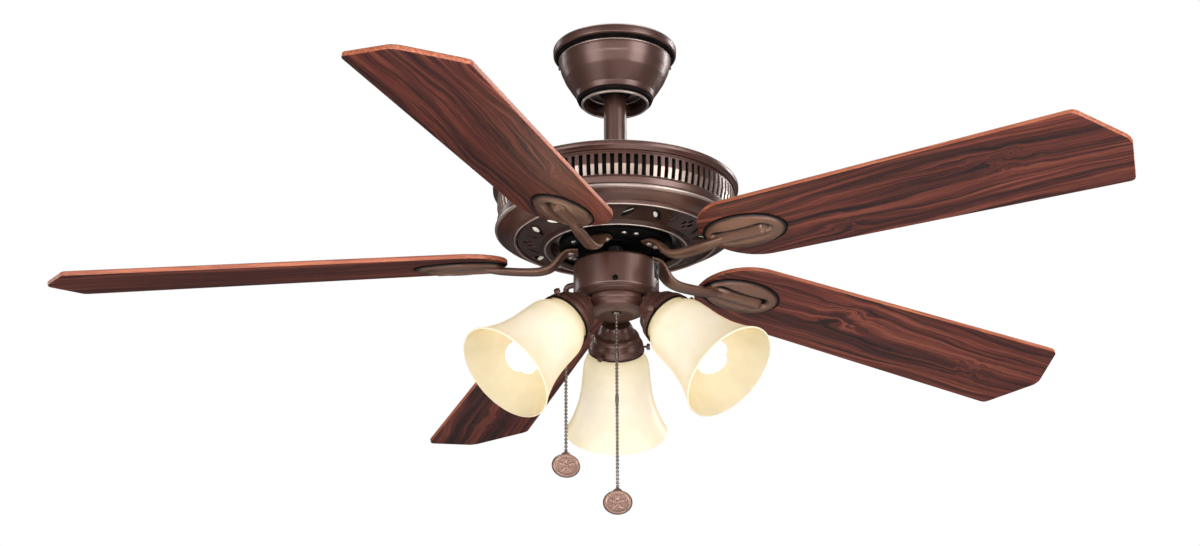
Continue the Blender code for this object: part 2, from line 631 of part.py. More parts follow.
# ---- Switch housing and what it holds -------------------------------------------------------------
def make_switch_housing():
    roof = SWITCH_TOP
    line = [(0.0400, roof), (SWITCH_R - 0.0030, roof), (SWITCH_R - 0.0008, roof - 0.0008),
            (SWITCH_R, roof - 0.0030), (SWITCH_R, SWITCH_FOOT)]
    inner = [(SWITCH_R - SWITCH_SHEET, SWITCH_FOOT), (SWITCH_R - SWITCH_SHEET, roof - 0.0032),
             (SWITCH_R - 0.0034, roof - 0.0014), (0.0080 + GAP, roof - 0.0014),
             (0.0080 + GAP, roof)]
    can = turned("switch_housing", line + inner, BRONZE, WIDE_STEPS)
    out = turn(SLIDER_AZIMUTH)
    window = box("slider_window", (0.0100, 0.0052, 0.0150), None,
                 out @ spot(SWITCH_R, 0.0, SLIDER_Z), True)
    cut(can, window)
    guide_azimuth = math.atan2(FAN_CHAIN_XY[1], FAN_CHAIN_XY[0])
    guide_hole = drum("guide_hole", 0.0035 + GAP, 0.0200, None,
                      turn(guide_azimuth) @ spot(SWITCH_R, 0.0, FAN_CHAIN_TOP)
                      @ turn(math.pi / 2.0, "Y"), True, 8)
    cut(can, guide_hole)
    body_r = SWITCH_R - SWITCH_SHEET - 0.0050
    box("reverse_switch", (0.0070, 0.0120, 0.0210), PLASTIC, out @ spot(body_r, 0.0, SLIDER_Z),
        bevel=0.0006)
    box("reverse_slider", (0.0038, 0.0042, 0.0060), PLASTIC,
        out @ spot(SWITCH_R - 0.0004, 0.0, SLIDER_Z - SLIDER_TRAVEL / 2.0), bevel=0.0005)
    speed = drum("speed_switch", 0.0130, 0.0180, PLASTIC,
                 turn(guide_azimuth) @ spot(0.0260, 0.0, FAN_CHAIN_TOP - 0.0020), sides=16)
    spout = drum("speed_switch_spout", 0.0034, 0.0100, PLASTIC,
                 turn(guide_azimuth) @ spot(0.0400, 0.0, FAN_CHAIN_TOP) @ turn(math.pi / 2.0, "Y"),
                 True, 8)
    join(speed, spout)
    box("run_capacitor", (0.0340, 0.0160, 0.0240), PLASTIC,
        turn(math.radians(-95.0)) @ spot(0.0300, 0.0, FAN_CHAIN_TOP - 0.0040)
        @ turn(math.pi / 2.0), bevel=0.0010)
    make_chain_guide(guide_azimuth)


def make_chain_guide(azimuth):
    """The elbow in the wall of the switch housing that the fan chain hangs out of."""
    reach = math.hypot(*FAN_CHAIN_XY)
    way = []
    bend = 0.0050
    start = SWITCH_R - 0.0035
    way.append((start, 0.0, FAN_CHAIN_TOP))
    way.append((reach - bend, 0.0, FAN_CHAIN_TOP))
    for i in range(1, 5):
        a = math.radians(90.0 - 22.5 * i)
        way.append((reach - bend + bend * math.cos(a), 0.0,
                    FAN_CHAIN_TOP - bend + bend * math.sin(a)))
    way.append((reach, 0.0, FAN_CHAIN_TOP - 0.0170))
    facing = turn(azimuth)
    guide = tube("fan_chain_guide", [facing @ Vector(p) for p in way], 0.0035, BRONZE, 2)
    bore_top = FAN_CHAIN_TOP - 0.0020
    bore = drum("guide_bore", 0.0024, 0.0300, None,
                facing @ spot(reach, 0.0, bore_top - 0.0150), True, 8)
    cut(guide, bore)


# ---- Light kit ------------------------------------------------------------------------------------
def make_fitter():
    top = SWITCH_FOOT - GAP
    line = [(PAN_R, top + 0.0040), (PAN_R, top), (SWITCH_R - 0.0004, top),
            (SWITCH_R - 0.0008, top - 0.0012), (0.0455, top - 0.0022), (0.0440, top - 0.0034),
            (0.0405, top - 0.0040), (0.0385, BOWL_TOP + GAP)]
    inner = [(0.0370, BOWL_TOP + GAP), (0.0370, top - 0.0020), (0.0440, top - 0.0005),
             (0.0462, top + 0.0040)]
    turned("light_fitter_pan", line + inner, BRONZE, WIDE_STEPS)
    bowl = [(0.0, BOWL_FOOT + 0.0014), (0.0185, BOWL_FOOT + 0.0018),
            (0.0262, BOWL_FOOT + 0.0036), (BOWL_R - 0.0048, BOWL_TOP - 0.0124),
            (BOWL_R - 0.0012, BOWL_TOP), (BOWL_R, BOWL_TOP),
            (BOWL_R - 0.0004, BOWL_TOP - 0.0090), (BOWL_R - 0.0034, BOWL_TOP - 0.0130),
            (0.0270, BOWL_FOOT + 0.0022), (0.0190, BOWL_FOOT + 0.0004), (0.0, BOWL_FOOT)]
    body = turned("fitter_bowl", bowl, BRONZE, ROUND_STEPS, ring=False)
    x, y = LIGHT_CHAIN_XY
    hole = drum("bowl_chain_hole", 0.0036, 0.0200, None, spot(x, y, BOWL_FOOT), True, 12)
    cut(body, hole)
    for azimuth in LAMP_AZIMUTHS:
        nipple_hole = drum(f"nipple_hole_{azimuth:.0f}", 0.0056, 0.0240, None,
                           lamp_place(azimuth) @ spot(z=-0.0040), True, 10)
        cut(body, nipple_hole)
    bush = [(0.0036 - GAP, BOWL_FOOT + 0.0050), (0.0036 - GAP, BOWL_FOOT - GAP),
            (0.0058, BOWL_FOOT - GAP), (0.0050, BOWL_FOOT - 0.0022),
            (0.0030, BOWL_FOOT - 0.0026), (0.0023, BOWL_FOOT - 0.0018),
            (0.0023, BOWL_FOOT + 0.0050)]
    turned("light_chain_bushing", bush, STEEL, 12, place=spot(x, y, -0.0001))
    drum("light_switch", 0.0085, 0.0100, PLASTIC, spot(x, y, LIGHT_CHAIN_TOP + 0.0056),
         sides=12)


def lamp_place(azimuth):
    """The frame of a lamp: Z runs down and outward from the narrow end of its cup."""
    start = turn(math.radians(azimuth)) @ spot(LAMP_R, 0.0, LAMP_Z)
    return start @ turn(math.pi - LAMP_TILT, "Y")


def make_lamps():
    cup_line = [(0.0050, -0.0090), (0.0050, 0.0000), (0.0170, 0.0025), (0.0215, 0.0130),
                (0.0265, 0.0165), (0.0285, 0.0230), (0.0320, 0.0300), (0.0328, CUP_LENGTH)]
    cup_back = [(0.0308, CUP_LENGTH), (0.0304, 0.0305), (0.0270, 0.0240), (0.0250, 0.0185),
                (0.0200, 0.0148), (0.0160, 0.0044), (0.0040, 0.0024), (0.0040, -0.0090)]
    shade_rise = [(SHADE_NECK_R, 0.0302), (SHADE_NECK_R, 0.0380), (0.0340, 0.0430),
                  (0.0378, 0.0520), (0.0403, 0.0750), (0.0435, 0.0980), (0.0490, 0.1175)]
    for i, azimuth in enumerate(LAMP_AZIMUTHS, 1):
        place = lamp_place(azimuth)
        # The lamp frame's Z runs down, so a profile that rises along it runs back up its outside.
        section = cup_line + cup_back
        turned(f"socket_cup_{i}", section[::-1], BRONZE, SMALL_STEPS, place=place)
        holder = [(0.0, 0.0110), (0.0137, 0.0110), (0.0137, 0.0400), (0.0160, 0.0400),
                  (0.0150, 0.0070), (0.0, 0.0060)]
        turned(f"lampholder_{i}", holder, PORCELAIN, SMALL_STEPS, ring=False, place=place)
        tip = BULB_TIP
        lamp = [(0.0, tip), (0.0130, tip - 0.0030), (0.0200, tip - 0.0120),
                (0.0215, tip - 0.0220), (0.0215, tip - 0.0500), (0.0200, tip - 0.0600),
                (0.0190, 0.0560), (0.0131, 0.0410), (0.0131, 0.0170), (0.0, 0.0130)]
        turned(f"bulb_{i}", lamp, LAMP_WHITE, SMALL_STEPS, ring=False, place=place)
        outer = shade_rise + [(0.0550, 0.1332), (SHADE_MOUTH_R, SHADE_MOUTH)]
        glass = shell_section(outer[::-1], SHADE_GLASS)
        turned(f"shade_{i}", glass, GLASS, ROUND_STEPS, place=place)


# ---- Pull chains ------------------------------------------------------------------------------------
def fob_outline():
    """A round pendant with a slightly pointed top, about its own middle."""
    half = FOB_WIDTH / 2.0
    points = [(half * math.cos(a), half * 0.88 * math.sin(a))
              for a in [math.radians(-90.0 + 360.0 * i / 18) for i in range(18)]]
    return [(x, y if y < half * 0.85 else FOB_HEIGHT - half * 0.88) for x, y in points]


def make_pull(name, place, top, fob_top, facing):
    x, y = place
    count = 24
    points = [(x, y, top + (fob_top + GAP - top) * i / count) for i in range(count + 1)]
    tube(f"{name}_chain", points, CHAIN_R, STEEL, 2)
    middle = fob_top - (FOB_HEIGHT - FOB_WIDTH * 0.44)
    slab(f"{name}_fob", fob_outline(), FOB_THICK, BRONZE,
         spot(x, y, middle) @ turn(facing) @ turn(math.pi / 2.0, "X"), bevel=0.0012)


def main():
    make_hanger()
    make_canopy()
    make_stem()
    make_housing()
    make_motor()
    make_blades()
    make_switch_housing()
    make_fitter()
    make_lamps()
    make_pull("light", LIGHT_CHAIN_XY, LIGHT_CHAIN_TOP, LIGHT_FOB_TOP, 0.0)
    make_pull("fan", FAN_CHAIN_XY, FAN_CHAIN_TOP - 0.0030, FAN_FOB_TOP, math.radians(12.0))
    bpy.context.view_layer.update()


main()
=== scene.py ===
"""Looks of the ceiling fan with light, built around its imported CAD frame. Metres, +Z up."""
import json
from math import acos, atan2, copysign, cos, exp, hypot, pi, radians, sin, tan

import bmesh
import bpy
from mathutils import Matrix, Vector


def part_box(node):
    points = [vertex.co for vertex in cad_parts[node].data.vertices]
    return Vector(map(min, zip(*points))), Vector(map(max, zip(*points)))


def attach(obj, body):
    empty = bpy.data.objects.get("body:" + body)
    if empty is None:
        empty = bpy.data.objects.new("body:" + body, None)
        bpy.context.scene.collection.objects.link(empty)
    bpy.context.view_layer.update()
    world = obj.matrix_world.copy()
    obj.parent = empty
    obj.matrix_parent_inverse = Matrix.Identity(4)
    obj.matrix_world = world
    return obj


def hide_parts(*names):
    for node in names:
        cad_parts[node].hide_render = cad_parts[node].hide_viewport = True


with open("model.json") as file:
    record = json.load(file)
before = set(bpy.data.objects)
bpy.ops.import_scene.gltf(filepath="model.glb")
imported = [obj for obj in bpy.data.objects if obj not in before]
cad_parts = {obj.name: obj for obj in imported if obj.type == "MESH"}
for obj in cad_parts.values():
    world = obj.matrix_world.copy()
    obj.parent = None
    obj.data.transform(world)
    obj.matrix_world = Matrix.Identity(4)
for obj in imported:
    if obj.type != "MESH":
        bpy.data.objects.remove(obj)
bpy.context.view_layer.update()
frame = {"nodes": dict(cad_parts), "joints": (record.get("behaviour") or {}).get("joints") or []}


def joint_place(name):
    return next((Vector(j["pos_m"]) for j in frame["joints"] if j["name"] == name))


# Driving dimensions, from the frame
PLANE = joint_place("rotor_spin").z             # the blades' height at their irons
BALL_Z = joint_place("stem_sway").z
CANOPY_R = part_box("canopy")[1].x
CANOPY_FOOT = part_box("canopy_ring")[0].z
HOUSING_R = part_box("housing_vent_band")[1].x
LIP_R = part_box("housing_dome")[1].x
SWITCH_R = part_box("switch_housing")[1].x
SWITCH_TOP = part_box("switch_housing")[1].z
SWITCH_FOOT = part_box("switch_housing")[0].z
BOWL_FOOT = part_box("fitter_bowl")[0].z
CHAIN_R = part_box("light_chain")[1].x
FOB_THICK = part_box("light_fob")[1].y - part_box("light_fob")[0].y
FULL, QUARTER = 2.0 * pi, pi / 2.0

BLADE_COUNT = 5
FIRST_BLADE = radians(35.0)
BLADE_PITCH = radians(12.0)
BLADE_DROOP = radians(2.3)
BLADE_TIP_R, BLADE_CORNER_R = 0.6604, 0.631
BLADE_ROOT_R, BLADE_SHOULDER_R = 0.126, 0.187
BLADE_ROOT_HALF, BLADE_TIP_HALF = 0.057, 0.07
BLADE_THICK = 0.006
IRON_MID_R = 0.1815
MEDALLION_HALF_L, MEDALLION_HALF_W = 0.052, 0.031
BLADE_SCREWS = ((-0.03, 0.0), (0.02, -0.015), (0.02, 0.015))   # from the medallion's middle
IRON_SCREWS_Y = (-0.0062, 0.0062)

LAMP_AZIMUTHS = (90.0, 210.0, 330.0)
LAMP_TILT = radians(45.0)
LAMP_R, LAMP_Z = 0.043, PLANE - 0.0575

LIGHT_CHAIN_X, LIGHT_CHAIN_Y = 0.0, -0.01
FAN_CHAIN_X, FAN_CHAIN_Y = -0.0585, 0.0335
GUIDE_Z = PLANE - 0.017                        # the axis of the fan chain's elbow
SLIDER_AZIMUTH = radians(-21.0)
BOWL_TOP = PLANE - 0.0475

VENT_COUNT = 96
VENT_TOP, VENT_FOOT = PLANE + 0.079, PLANE + 0.0545


def added(name, data):
    """A new object in the scene."""
    obj = bpy.data.objects.new(name, data)
    bpy.context.scene.collection.objects.link(obj)
    return obj


# Camera: from below, as in the usual catalogue view
def make_camera():
    lens = bpy.data.cameras.new("camera")
    lens.sensor_width = 36.0
    lens.lens = 84.9
    camera = added("camera", lens)
    rise, roll = radians(90.0 + 20.89), radians(-0.25)
    camera.location = (-0.0187, -3.0632, -1.4567)
    camera.rotation_euler = (Matrix.Rotation(rise, 3, "X") @ Matrix.Rotation(roll, 3, "Z")).to_euler()
    bpy.context.scene.camera = camera


make_camera()


# Materials
class Graph:
    """A short way to write a material's nodes around its Principled shader."""

    def __init__(self, name, **settings):
        self.mat = bpy.data.materials.new(name)
        self.mat.use_nodes = True
        self.tree = self.mat.node_tree
        self.shader = self.tree.nodes["Principled BSDF"]
        self.place = self.node("TexCoord").outputs["Object"]
        self.x, self.y, self.z = self.node("SeparateXYZ", {0: self.place}).outputs
        self.set(**settings)

    def set(self, **settings):
        """Sockets by name, with _ for each space."""
        for key, value in settings.items():
            self.feed(self.shader.inputs[key.replace("_", " ")], value)

    def feed(self, socket, value):
        if isinstance(value, bpy.types.NodeSocket):
            self.tree.links.new(value, socket)
        else:
            socket.default_value = value

    def node(self, kind, inputs=None, **settings):
        made = self.tree.nodes.new("ShaderNode" + kind)
        for key, value in settings.items():
            setattr(made, key, value)
        for key, value in (inputs or {}).items():
            self.feed(made.inputs[key], value)
        return made

    def math(self, operation, a, b=0.0, clamp=False):
        return self.node("Math", {0: a, 1: b}, operation=operation, use_clamp=clamp).outputs[0]

    def times(self, a, b):
        return self.math("MULTIPLY", a, b)

    def plus(self, a, b):
        return self.math("ADD", a, b)

    def stretch(self, scale, shift=(0.0, 0.0, 0.0), vector=None):
        inputs = {"Vector": vector or self.place, "Scale": scale, "Location": shift}
        return self.node("Mapping", inputs).outputs[0]

    def noise(self, scale, detail=2.0, vector=None, distortion=0.0):
        inputs = {"Vector": vector or self.place, "Scale": scale, "Detail": detail,
            "Distortion": distortion}
        return self.node("TexNoise", inputs).outputs["Fac"]

    def span(self, value, low, high, to_low=0.0, to_high=1.0):
        """The value from low..high to to_low..to_high, clamped."""
        inputs = {0: value, 1: low, 2: high, 3: to_low, 4: to_high}
        return self.node("MapRange", inputs).outputs[0]

    def blend(self, share, a, b):
        made = self.node("Mix", data_type="RGBA")
        self.feed(made.inputs[0], share)
        self.feed(made.inputs[6], a)
        self.feed(made.inputs[7], b)
        return made.outputs[2]

    def bump(self, height, strength, depth):
        inputs = {"Height": height, "Strength": strength, "Distance": depth}
        self.feed(self.shader.inputs["Normal"], self.node("Bump", inputs).outputs[0])


def rgb(r, g, b):
    """A colour from its 0-255 screen values."""

    def linear(c):
        c /= 255.0
        return c / 12.92 if c <= 0.04045 else ((c + 0.055) / 1.055) ** 2.4
    return (linear(r), linear(g), linear(b), 1.0)


def painted_metal(name, dark, light, rough=0.36, coat=0.7):
    """Satin paint over cast or sheet metal: cloudy tone, fine flake, rubbed edges."""
    g = Graph(name, Metallic=0.5, Coat_Weight=coat, Coat_Roughness=0.3)
    dark, light = rgb(*dark), rgb(*light)
    cloud = g.noise(17.0, 4.0)
    flake = g.noise(1500.0, 1.0)
    tone = g.blend(g.span(cloud, 0.32, 0.68), dark, light)
    edge = g.span(g.node("NewGeometry").outputs["Pointiness"], 0.53, 0.62)
    worn = tuple((min(1.0, 1.7 * c + 0.02) for c in light[:3])) + (1.0,)
    tone = g.blend(g.times(edge, 0.35), tone, worn)
    g.set(Base_Color=tone, Roughness=g.plus(g.span(cloud, 0.3, 0.7, -0.04, 0.05),
        g.span(flake, 0.3, 0.7, rough - 0.03, rough + 0.04)))
    g.bump(flake, 0.05, 0.0002)
    return g.mat


def relief_metal(name, hollow, raised, low, high):
    """Satin paint toned by depth: painted shade darkens the hollows of a relief, and its crests are
    paler.
    """
    g = Graph(name, Metallic=0.5, Coat_Weight=0.4, Coat_Roughness=0.25)
    flake = g.noise(1500.0, 1.0)
    lift = g.span(g.plus(g.z, g.span(g.noise(60.0), 0.3, 0.7, -0.0003, 0.0003)), low, high)
    g.set(Base_Color=g.blend(lift, rgb(*hollow), rgb(*raised)),
        Roughness=g.span(lift, 0.0, 1.0, 0.42, 0.28))
    g.bump(flake, 0.05, 0.0002)
    return g.mat


def bare_metal(name, tone, rough=0.3, scale=400.0):
    """Plated or cast metal with a fine uneven surface."""
    g = Graph(name, Metallic=1.0)
    tone = rgb(*tone)
    grain = g.noise(scale, 3.0)
    stain = g.noise(35.0, 3.0)
    dull = tuple((0.6 * c for c in tone[:3])) + (1.0,)
    g.set(Base_Color=g.blend(g.span(stain, 0.35, 0.7), tone, dull),
        Roughness=g.span(grain, 0.3, 0.7, rough - 0.06, rough + 0.08))
    g.bump(grain, 0.12, 0.0002)
    return g.mat


def moulded(name, tone, rough=0.45, specular=0.4):
    """Moulded plastic, rubber or glazed ware with a fine texture."""
    g = Graph(name, Specular_IOR_Level=specular)
    tone = rgb(*tone)
    grain = g.noise(900.0, 2.0)
    pale = tuple((min(1.0, 1.25 * c + 0.004) for c in tone[:3])) + (1.0,)
    g.set(Base_Color=g.blend(g.span(g.noise(60.0), 0.35, 0.65), tone, pale),
        Roughness=g.span(grain, 0.3, 0.7, rough - 0.05, rough + 0.06))
    g.bump(grain, 0.1, 0.0002)
    return g.mat


def walnut(index, burls=()):
    """Dark walnut veneer along a blade's X. Each burl is (x, y, size) in the blade's frame."""
    g = Graph(f"walnut_{index}", Coat_Weight=0.12, Coat_Roughness=0.3, Specular_IOR_Level=0.3)
    shift = (0.83 * index, 0.37 * index, 0.0)
    drift = g.noise(1.0, 3.0, g.stretch((2.6, 8.0, 1.0), shift))
    wander = g.times(g.math("SUBTRACT", drift, 0.5), 0.075)
    lines = g.plus(g.y, wander)
    swirl = None
    for x, y, size in burls:
        away = g.node("VectorMath", {0: g.stretch((1.0, 1.7, 1.0)), 1: (x, 1.7 * y, 0.0)},
            operation="DISTANCE").outputs["Value"]
        near = g.span(away, 0.0, size, 1.0, 0.0)
        near = g.times(near, near)
        swirl = near if swirl is None else g.math("MAXIMUM", swirl, near)
    if swirl is not None:
        curl = g.noise(1.0, 3.0, g.stretch((24.0, 46.0, 1.0), shift))
        push = g.times(g.math("SUBTRACT", curl, 0.42), 0.085)
        lines = g.plus(lines, g.times(push, swirl))
    grain_place = g.node("CombineXYZ", {0: g.x, 1: lines, 2: 0.0}).outputs[0]
    broad = g.noise(1.0, 3.0, g.stretch((1.1, 62.0, 1.0), shift, grain_place))
    middle = g.noise(1.0, 3.0, g.stretch((4.5, 260.0, 1.0), shift, grain_place))
    fine = g.noise(1.0, 2.0, g.stretch((30.0, 1300.0, 1.0), shift, grain_place))
    pores = g.span(g.noise(1.0, 1.0, g.stretch((55.0, 2300.0, 1.0), shift, grain_place)), 0.62, 0.72)
    shade = g.plus(g.times(broad, 0.46), g.times(middle, 0.4))
    shade = g.plus(shade, g.times(fine, 0.14))
    streak = g.noise(1.0, 2.0, g.stretch((1.6, 120.0, 1.0), (5.0, 2.0, 0.0), grain_place))
    streak = g.span(streak, 0.6, 0.7)
    ramp = g.node("ValToRGB", {"Fac": shade})
    stops = ((0.37, rgb(24, 9, 8)), (0.45, rgb(64, 26, 20)), (0.53, rgb(108, 48, 36)),
        (0.63, rgb(150, 80, 60)))
    while len(ramp.color_ramp.elements) < len(stops):
        ramp.color_ramp.elements.new(0.5)
    for element, (place, tone) in zip(ramp.color_ramp.elements, stops):
        element.position = place
        element.color = tone
    tone = g.blend(g.times(streak, 0.85), ramp.outputs[0], rgb(30, 13, 11))
    tone = g.blend(g.times(pores, 0.55), tone, rgb(28, 13, 12))
    g.set(Base_Color=tone, Roughness=g.span(shade, 0.35, 0.65, 0.52, 0.38))
    g.bump(g.math("SUBTRACT", fine, g.times(pores, 0.6)), 0.22, 0.0003)
    return g.mat


def edge_band():
    """The paler red-brown banding on a blade's edges."""
    g = Graph("edge_band", Coat_Weight=0.2, Coat_Roughness=0.35)
    grain = g.noise(1.0, 3.0, g.stretch((14.0, 300.0, 500.0)))
    g.set(Base_Color=g.blend(g.span(grain, 0.3, 0.7), rgb(150, 72, 46), rgb(206, 120, 84)),
        Roughness=g.span(grain, 0.3, 0.7, 0.42, 0.55))
    g.bump(grain, 0.12, 0.0002)
    return g.mat


def frosted_glass(name, glow, inner):
    """Tea-tinted frosted glass with a painted glow for the lamp's light: brightest around the lamp, along
    local Z, and painted yellow at grazing angles.
    """
    g = Graph(name, Roughness=0.42, Coat_Weight=0.3, Coat_Roughness=0.35, Specular_IOR_Level=0.4)
    cloud = g.noise(38.0, 4.0, distortion=0.6)
    rise = g.span(g.z, 0.03, 0.088)
    fall = g.span(g.z, 0.15, 0.1)
    lit = g.times(g.math("POWER", rise, 0.8), g.plus(0.55, g.times(fall, 0.45)))
    lit = g.math("ADD", lit, g.span(cloud, 0.3, 0.7, -0.06, 0.06), clamp=True)
    # The inside copy is darker than the outside: painted shade on the glass's inner face.
    pale = rgb(255, 243, 231) if not inner else rgb(248, 238, 210)
    deep = rgb(244, 224, 168) if not inner else rgb(230, 216, 172)
    base = (rgb(204, 192, 164), rgb(214, 203, 178)) if not inner else (rgb(168, 152, 118),
        rgb(180, 164, 132))
    tone = g.blend(lit, deep, pale)
    rim = g.node("LayerWeight", {"Blend": 0.32}).outputs["Facing"]
    # Painted glow: the emission colour, with a painted yellow rim where the glass turns away.
    painted_glow = g.blend(g.math("POWER", rim, 1.7), tone, rgb(246, 202, 84))
    g.set(Base_Color=g.blend(g.span(cloud, 0.3, 0.7), *base), Emission_Color=painted_glow,
        Emission_Strength=glow)
    g.bump(g.noise(700.0, 2.0), 0.08, 0.0002)
    return g.mat


def lamp_glass():
    g = Graph("lamp_glow", Base_Color=(0.95, 0.93, 0.86, 1.0), Roughness=0.3)
    warm = g.blend(g.span(g.noise(60.0), 0.3, 0.7), (1.0, 0.97, 0.88, 1.0), (1.0, 1.0, 0.97, 1.0))
    g.set(Emission_Color=warm, Emission_Strength=1.1)
    return g.mat


BRONZE = painted_metal("bronze_paint", (86, 54, 45), (104, 69, 58))
BRONZE_CAST = painted_metal("bronze_cast", (98, 64, 47), (122, 86, 66), rough=0.34)
# Painted shade: a darker copy of the bronze for the canopy's throat and the housing's underside plate.
BRONZE_SHADED = painted_metal("bronze_painted_shade", (50, 27, 20), (66, 39, 29), rough=0.34, coat=0.3)
# Painted highlight: a pale copy of the bronze for beads, ridge lines, lips and screw heads.
BRONZE_HIGHLIGHT = painted_metal("bronze_highlight", (186, 166, 156), (206, 188, 178), rough=0.28)
# Painted highlight for the lower halves of the vent ribs.
RIB_HIGHLIGHT = painted_metal("rib_highlight", (160, 134, 122), (180, 156, 144), rough=0.26)
# Painted glint: near-white for the tongues inside the leaf slots.
GLINT_WHITE = moulded("painted_glint_white", (238, 230, 216), 0.4)
BRONZE_DARK = moulded("bronze_shadow", (13, 8, 7), 0.7, 0.1)
CHAIN_METAL = bare_metal("antique_chain_metal", (150, 136, 128), 0.3, 900.0)
# The medallion's hollows go near black by depth: painted shade.
MEDALLION = relief_metal("bronze_relief", (9, 5, 4), (128, 92, 74), -0.0045, -0.0063)
STEEL = bare_metal("zinc_plate", (190, 190, 192), 0.32)
BRIGHT = bare_metal("bright_screw", (222, 220, 216), 0.2)
ALUMINIUM = bare_metal("sand_cast_aluminium", (196, 194, 190), 0.42, 260.0)
COPPER = bare_metal("enamelled_wire", (176, 96, 58), 0.35, 600.0)
BLACKENED = painted_metal("blackened_steel_paint", (24, 20, 19), (38, 32, 30), rough=0.38)
PLASTIC = moulded("black_moulding", (16, 14, 14), 0.5, 0.25)
PORCELAIN = moulded("glazed_porcelain", (226, 222, 210), 0.3)
RUBBER = moulded("moulded_rubber", (9, 8, 8), 0.8, 0.08)
GLASS = frosted_glass("shade_glass", 0.41, False)
GLASS_INSIDE = frosted_glass("shade_glass_inside", 0.37, True)
LAMP = lamp_glass()
EDGE = edge_band()
WALNUTS = [walnut(1, ((0.33, -0.018, 0.09), (0.56, 0.01, 0.08))), walnut(2, ((0.56, 0.0, 0.08),)),
    walnut(3), walnut(4, ((0.3, 0.03, 0.06),)), walnut(5, ((0.52, -0.02, 0.09), (0.3, 0.03, 0.06)))]


# Mesh helpers
def piece(name, mesh, mats, body="stem", slot="bronze", place=None, replaces="", angle=34.0):
    """A finished mesh as a visible piece that rides on a CAD body."""
    obj = added(name, mesh)
    if not mesh.materials:
        for mat in mats if isinstance(mats, list) else [mats]:
            mesh.materials.append(mat)
    mesh.shade_smooth()
    mesh.set_sharp_from_angle(angle=radians(angle))
    if place is not None:
        obj.matrix_world = place
    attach(obj, body)
    if replaces:
        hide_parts(replaces)
    return obj


def turned(name, points, mats, radius=0.0004, steps=160, **more):
    """A turned piece from its profile."""
    return piece(name, lathe(name, points, radius, steps), mats, **more)


def row_of(name, mesh, mats, places, **more):
    """The same mesh at each place, as pieces numbered from 1."""
    for n, place in enumerate(places, 1):
        piece(f"{name}_{n}", mesh.copy(), mats, place=place, **more)


def spot(x=0.0, y=0.0, z=0.0):
    return Matrix.Translation((x, y, z))


def turn(angle, axis="Z"):
    return Matrix.Rotation(angle, 4, axis)


def facing_out(azimuth, r, z):
    """A place on a round wall, with its Z pointing straight out."""
    return turn(azimuth) @ spot(r, 0, z) @ turn(QUARTER, "Y")


def finished(bm, name):
    """The bmesh as a mesh with its faces pointing out."""
    bmesh.ops.recalc_face_normals(bm, faces=bm.faces)
    mesh = bpy.data.meshes.new(name)
    bm.to_mesh(mesh)
    bm.free()
    return mesh


def smooth_step(x, low, high):
    t = min(max((x - low) / (high - low), 0), 1.0)
    return t * t * (3.0 - 2 * t)


def bell(x):
    return exp(-x * x)


def filleted(points, radius, closed=True, parts=4):
    """The outline with its corners rounded; a point may carry its own radius third."""
    made = []
    count = len(points)
    for i, point in enumerate(points):
        corner = Vector(point[:2])
        if not closed and i in (0, count - 1):
            made.append(corner)
            continue
        before = Vector(points[i - 1][:2]) - corner
        after = Vector(points[(i + 1) % count][:2]) - corner
        half = before.angle(after, pi) / 2
        own = point[2] if len(point) > 2 else radius
        reach = min(own / max(tan(half), 0.05), 0.45 * before.length, 0.45 * after.length)
        if half > radians(88) or reach < 2e-05:
            made.append(corner)
            continue
        start = corner + before.normalized() * reach
        end = corner + after.normalized() * reach
        for k in range(parts + 1):
            t = k / parts
            made.append(start * (1 - t) ** 2 + corner * 2 * t * (1 - t) + end * t * t)
    return [(p.x, p.y) for p in made]


def lathe(name, points, radius=0.0004, steps=160, ring=True):
    """A profile of (r, z) points turned about Z; a ring is closed, others end on the axis."""
    outline = filleted(points, radius, ring)
    bm = bmesh.new()
    verts = [bm.verts.new((r, 0, z)) for r, z in outline]
    pairs = list(zip(verts, verts[1:])) + ([(verts[-1], verts[0])] if ring else [])
    edges = [bm.edges.new(pair) for pair in pairs]
    bmesh.ops.spin(bm, geom=verts + edges, cent=(0, 0, 0), axis=(0, 0, 1), angle=FULL, steps=steps,
        use_merge=True)
    bmesh.ops.remove_doubles(bm, verts=bm.verts, dist=4e-06)
    return finished(bm, name)


def sheet(outer, thickness):
    """A sheet-metal profile from its outer line."""
    inner = []
    last = len(outer) - 1
    for i, point in enumerate(outer):
        before = outer[max(i - 1, 0)]
        after = outer[min(i + 1, last)]
        run = Vector((after[0] - before[0], after[1] - before[1])).normalized()
        inner.append((point[0] + run.y * thickness, point[1] - run.x * thickness))
    return list(outer) + inner[::-1]


def prism(name, outline, low, high, bevel=0.0, parts=3):
    """A flat outline between two heights, with rounded rims."""
    bm = bmesh.new()
    foot = bm.faces.new([bm.verts.new((x, y, low)) for x, y in outline])
    made = bmesh.ops.extrude_face_region(bm, geom=[foot])
    tops = [v for v in made["geom"] if isinstance(v, bmesh.types.BMVert)]
    bmesh.ops.translate(bm, verts=tops, vec=(0, 0, high - low))
    bmesh.ops.recalc_face_normals(bm, faces=bm.faces)
    if bevel:
        rims = [e for e in bm.edges if abs(e.verts[0].co.z - e.verts[1].co.z) < 1e-06]
        bmesh.ops.bevel(bm, geom=rims, offset=bevel, segments=parts, affect="EDGES", profile=0.5)
    return finished(bm, name)


def grown(*meshes):
    """Several meshes as one."""
    bm = bmesh.new()
    for part in meshes:
        bm.from_mesh(part)
    mesh_out = bpy.data.meshes.new(meshes[0].name + "_all")
    bm.to_mesh(mesh_out)
    bm.free()
    return mesh_out


def moved(mesh, place):
    made = mesh.copy()
    made.transform(place)
    return made


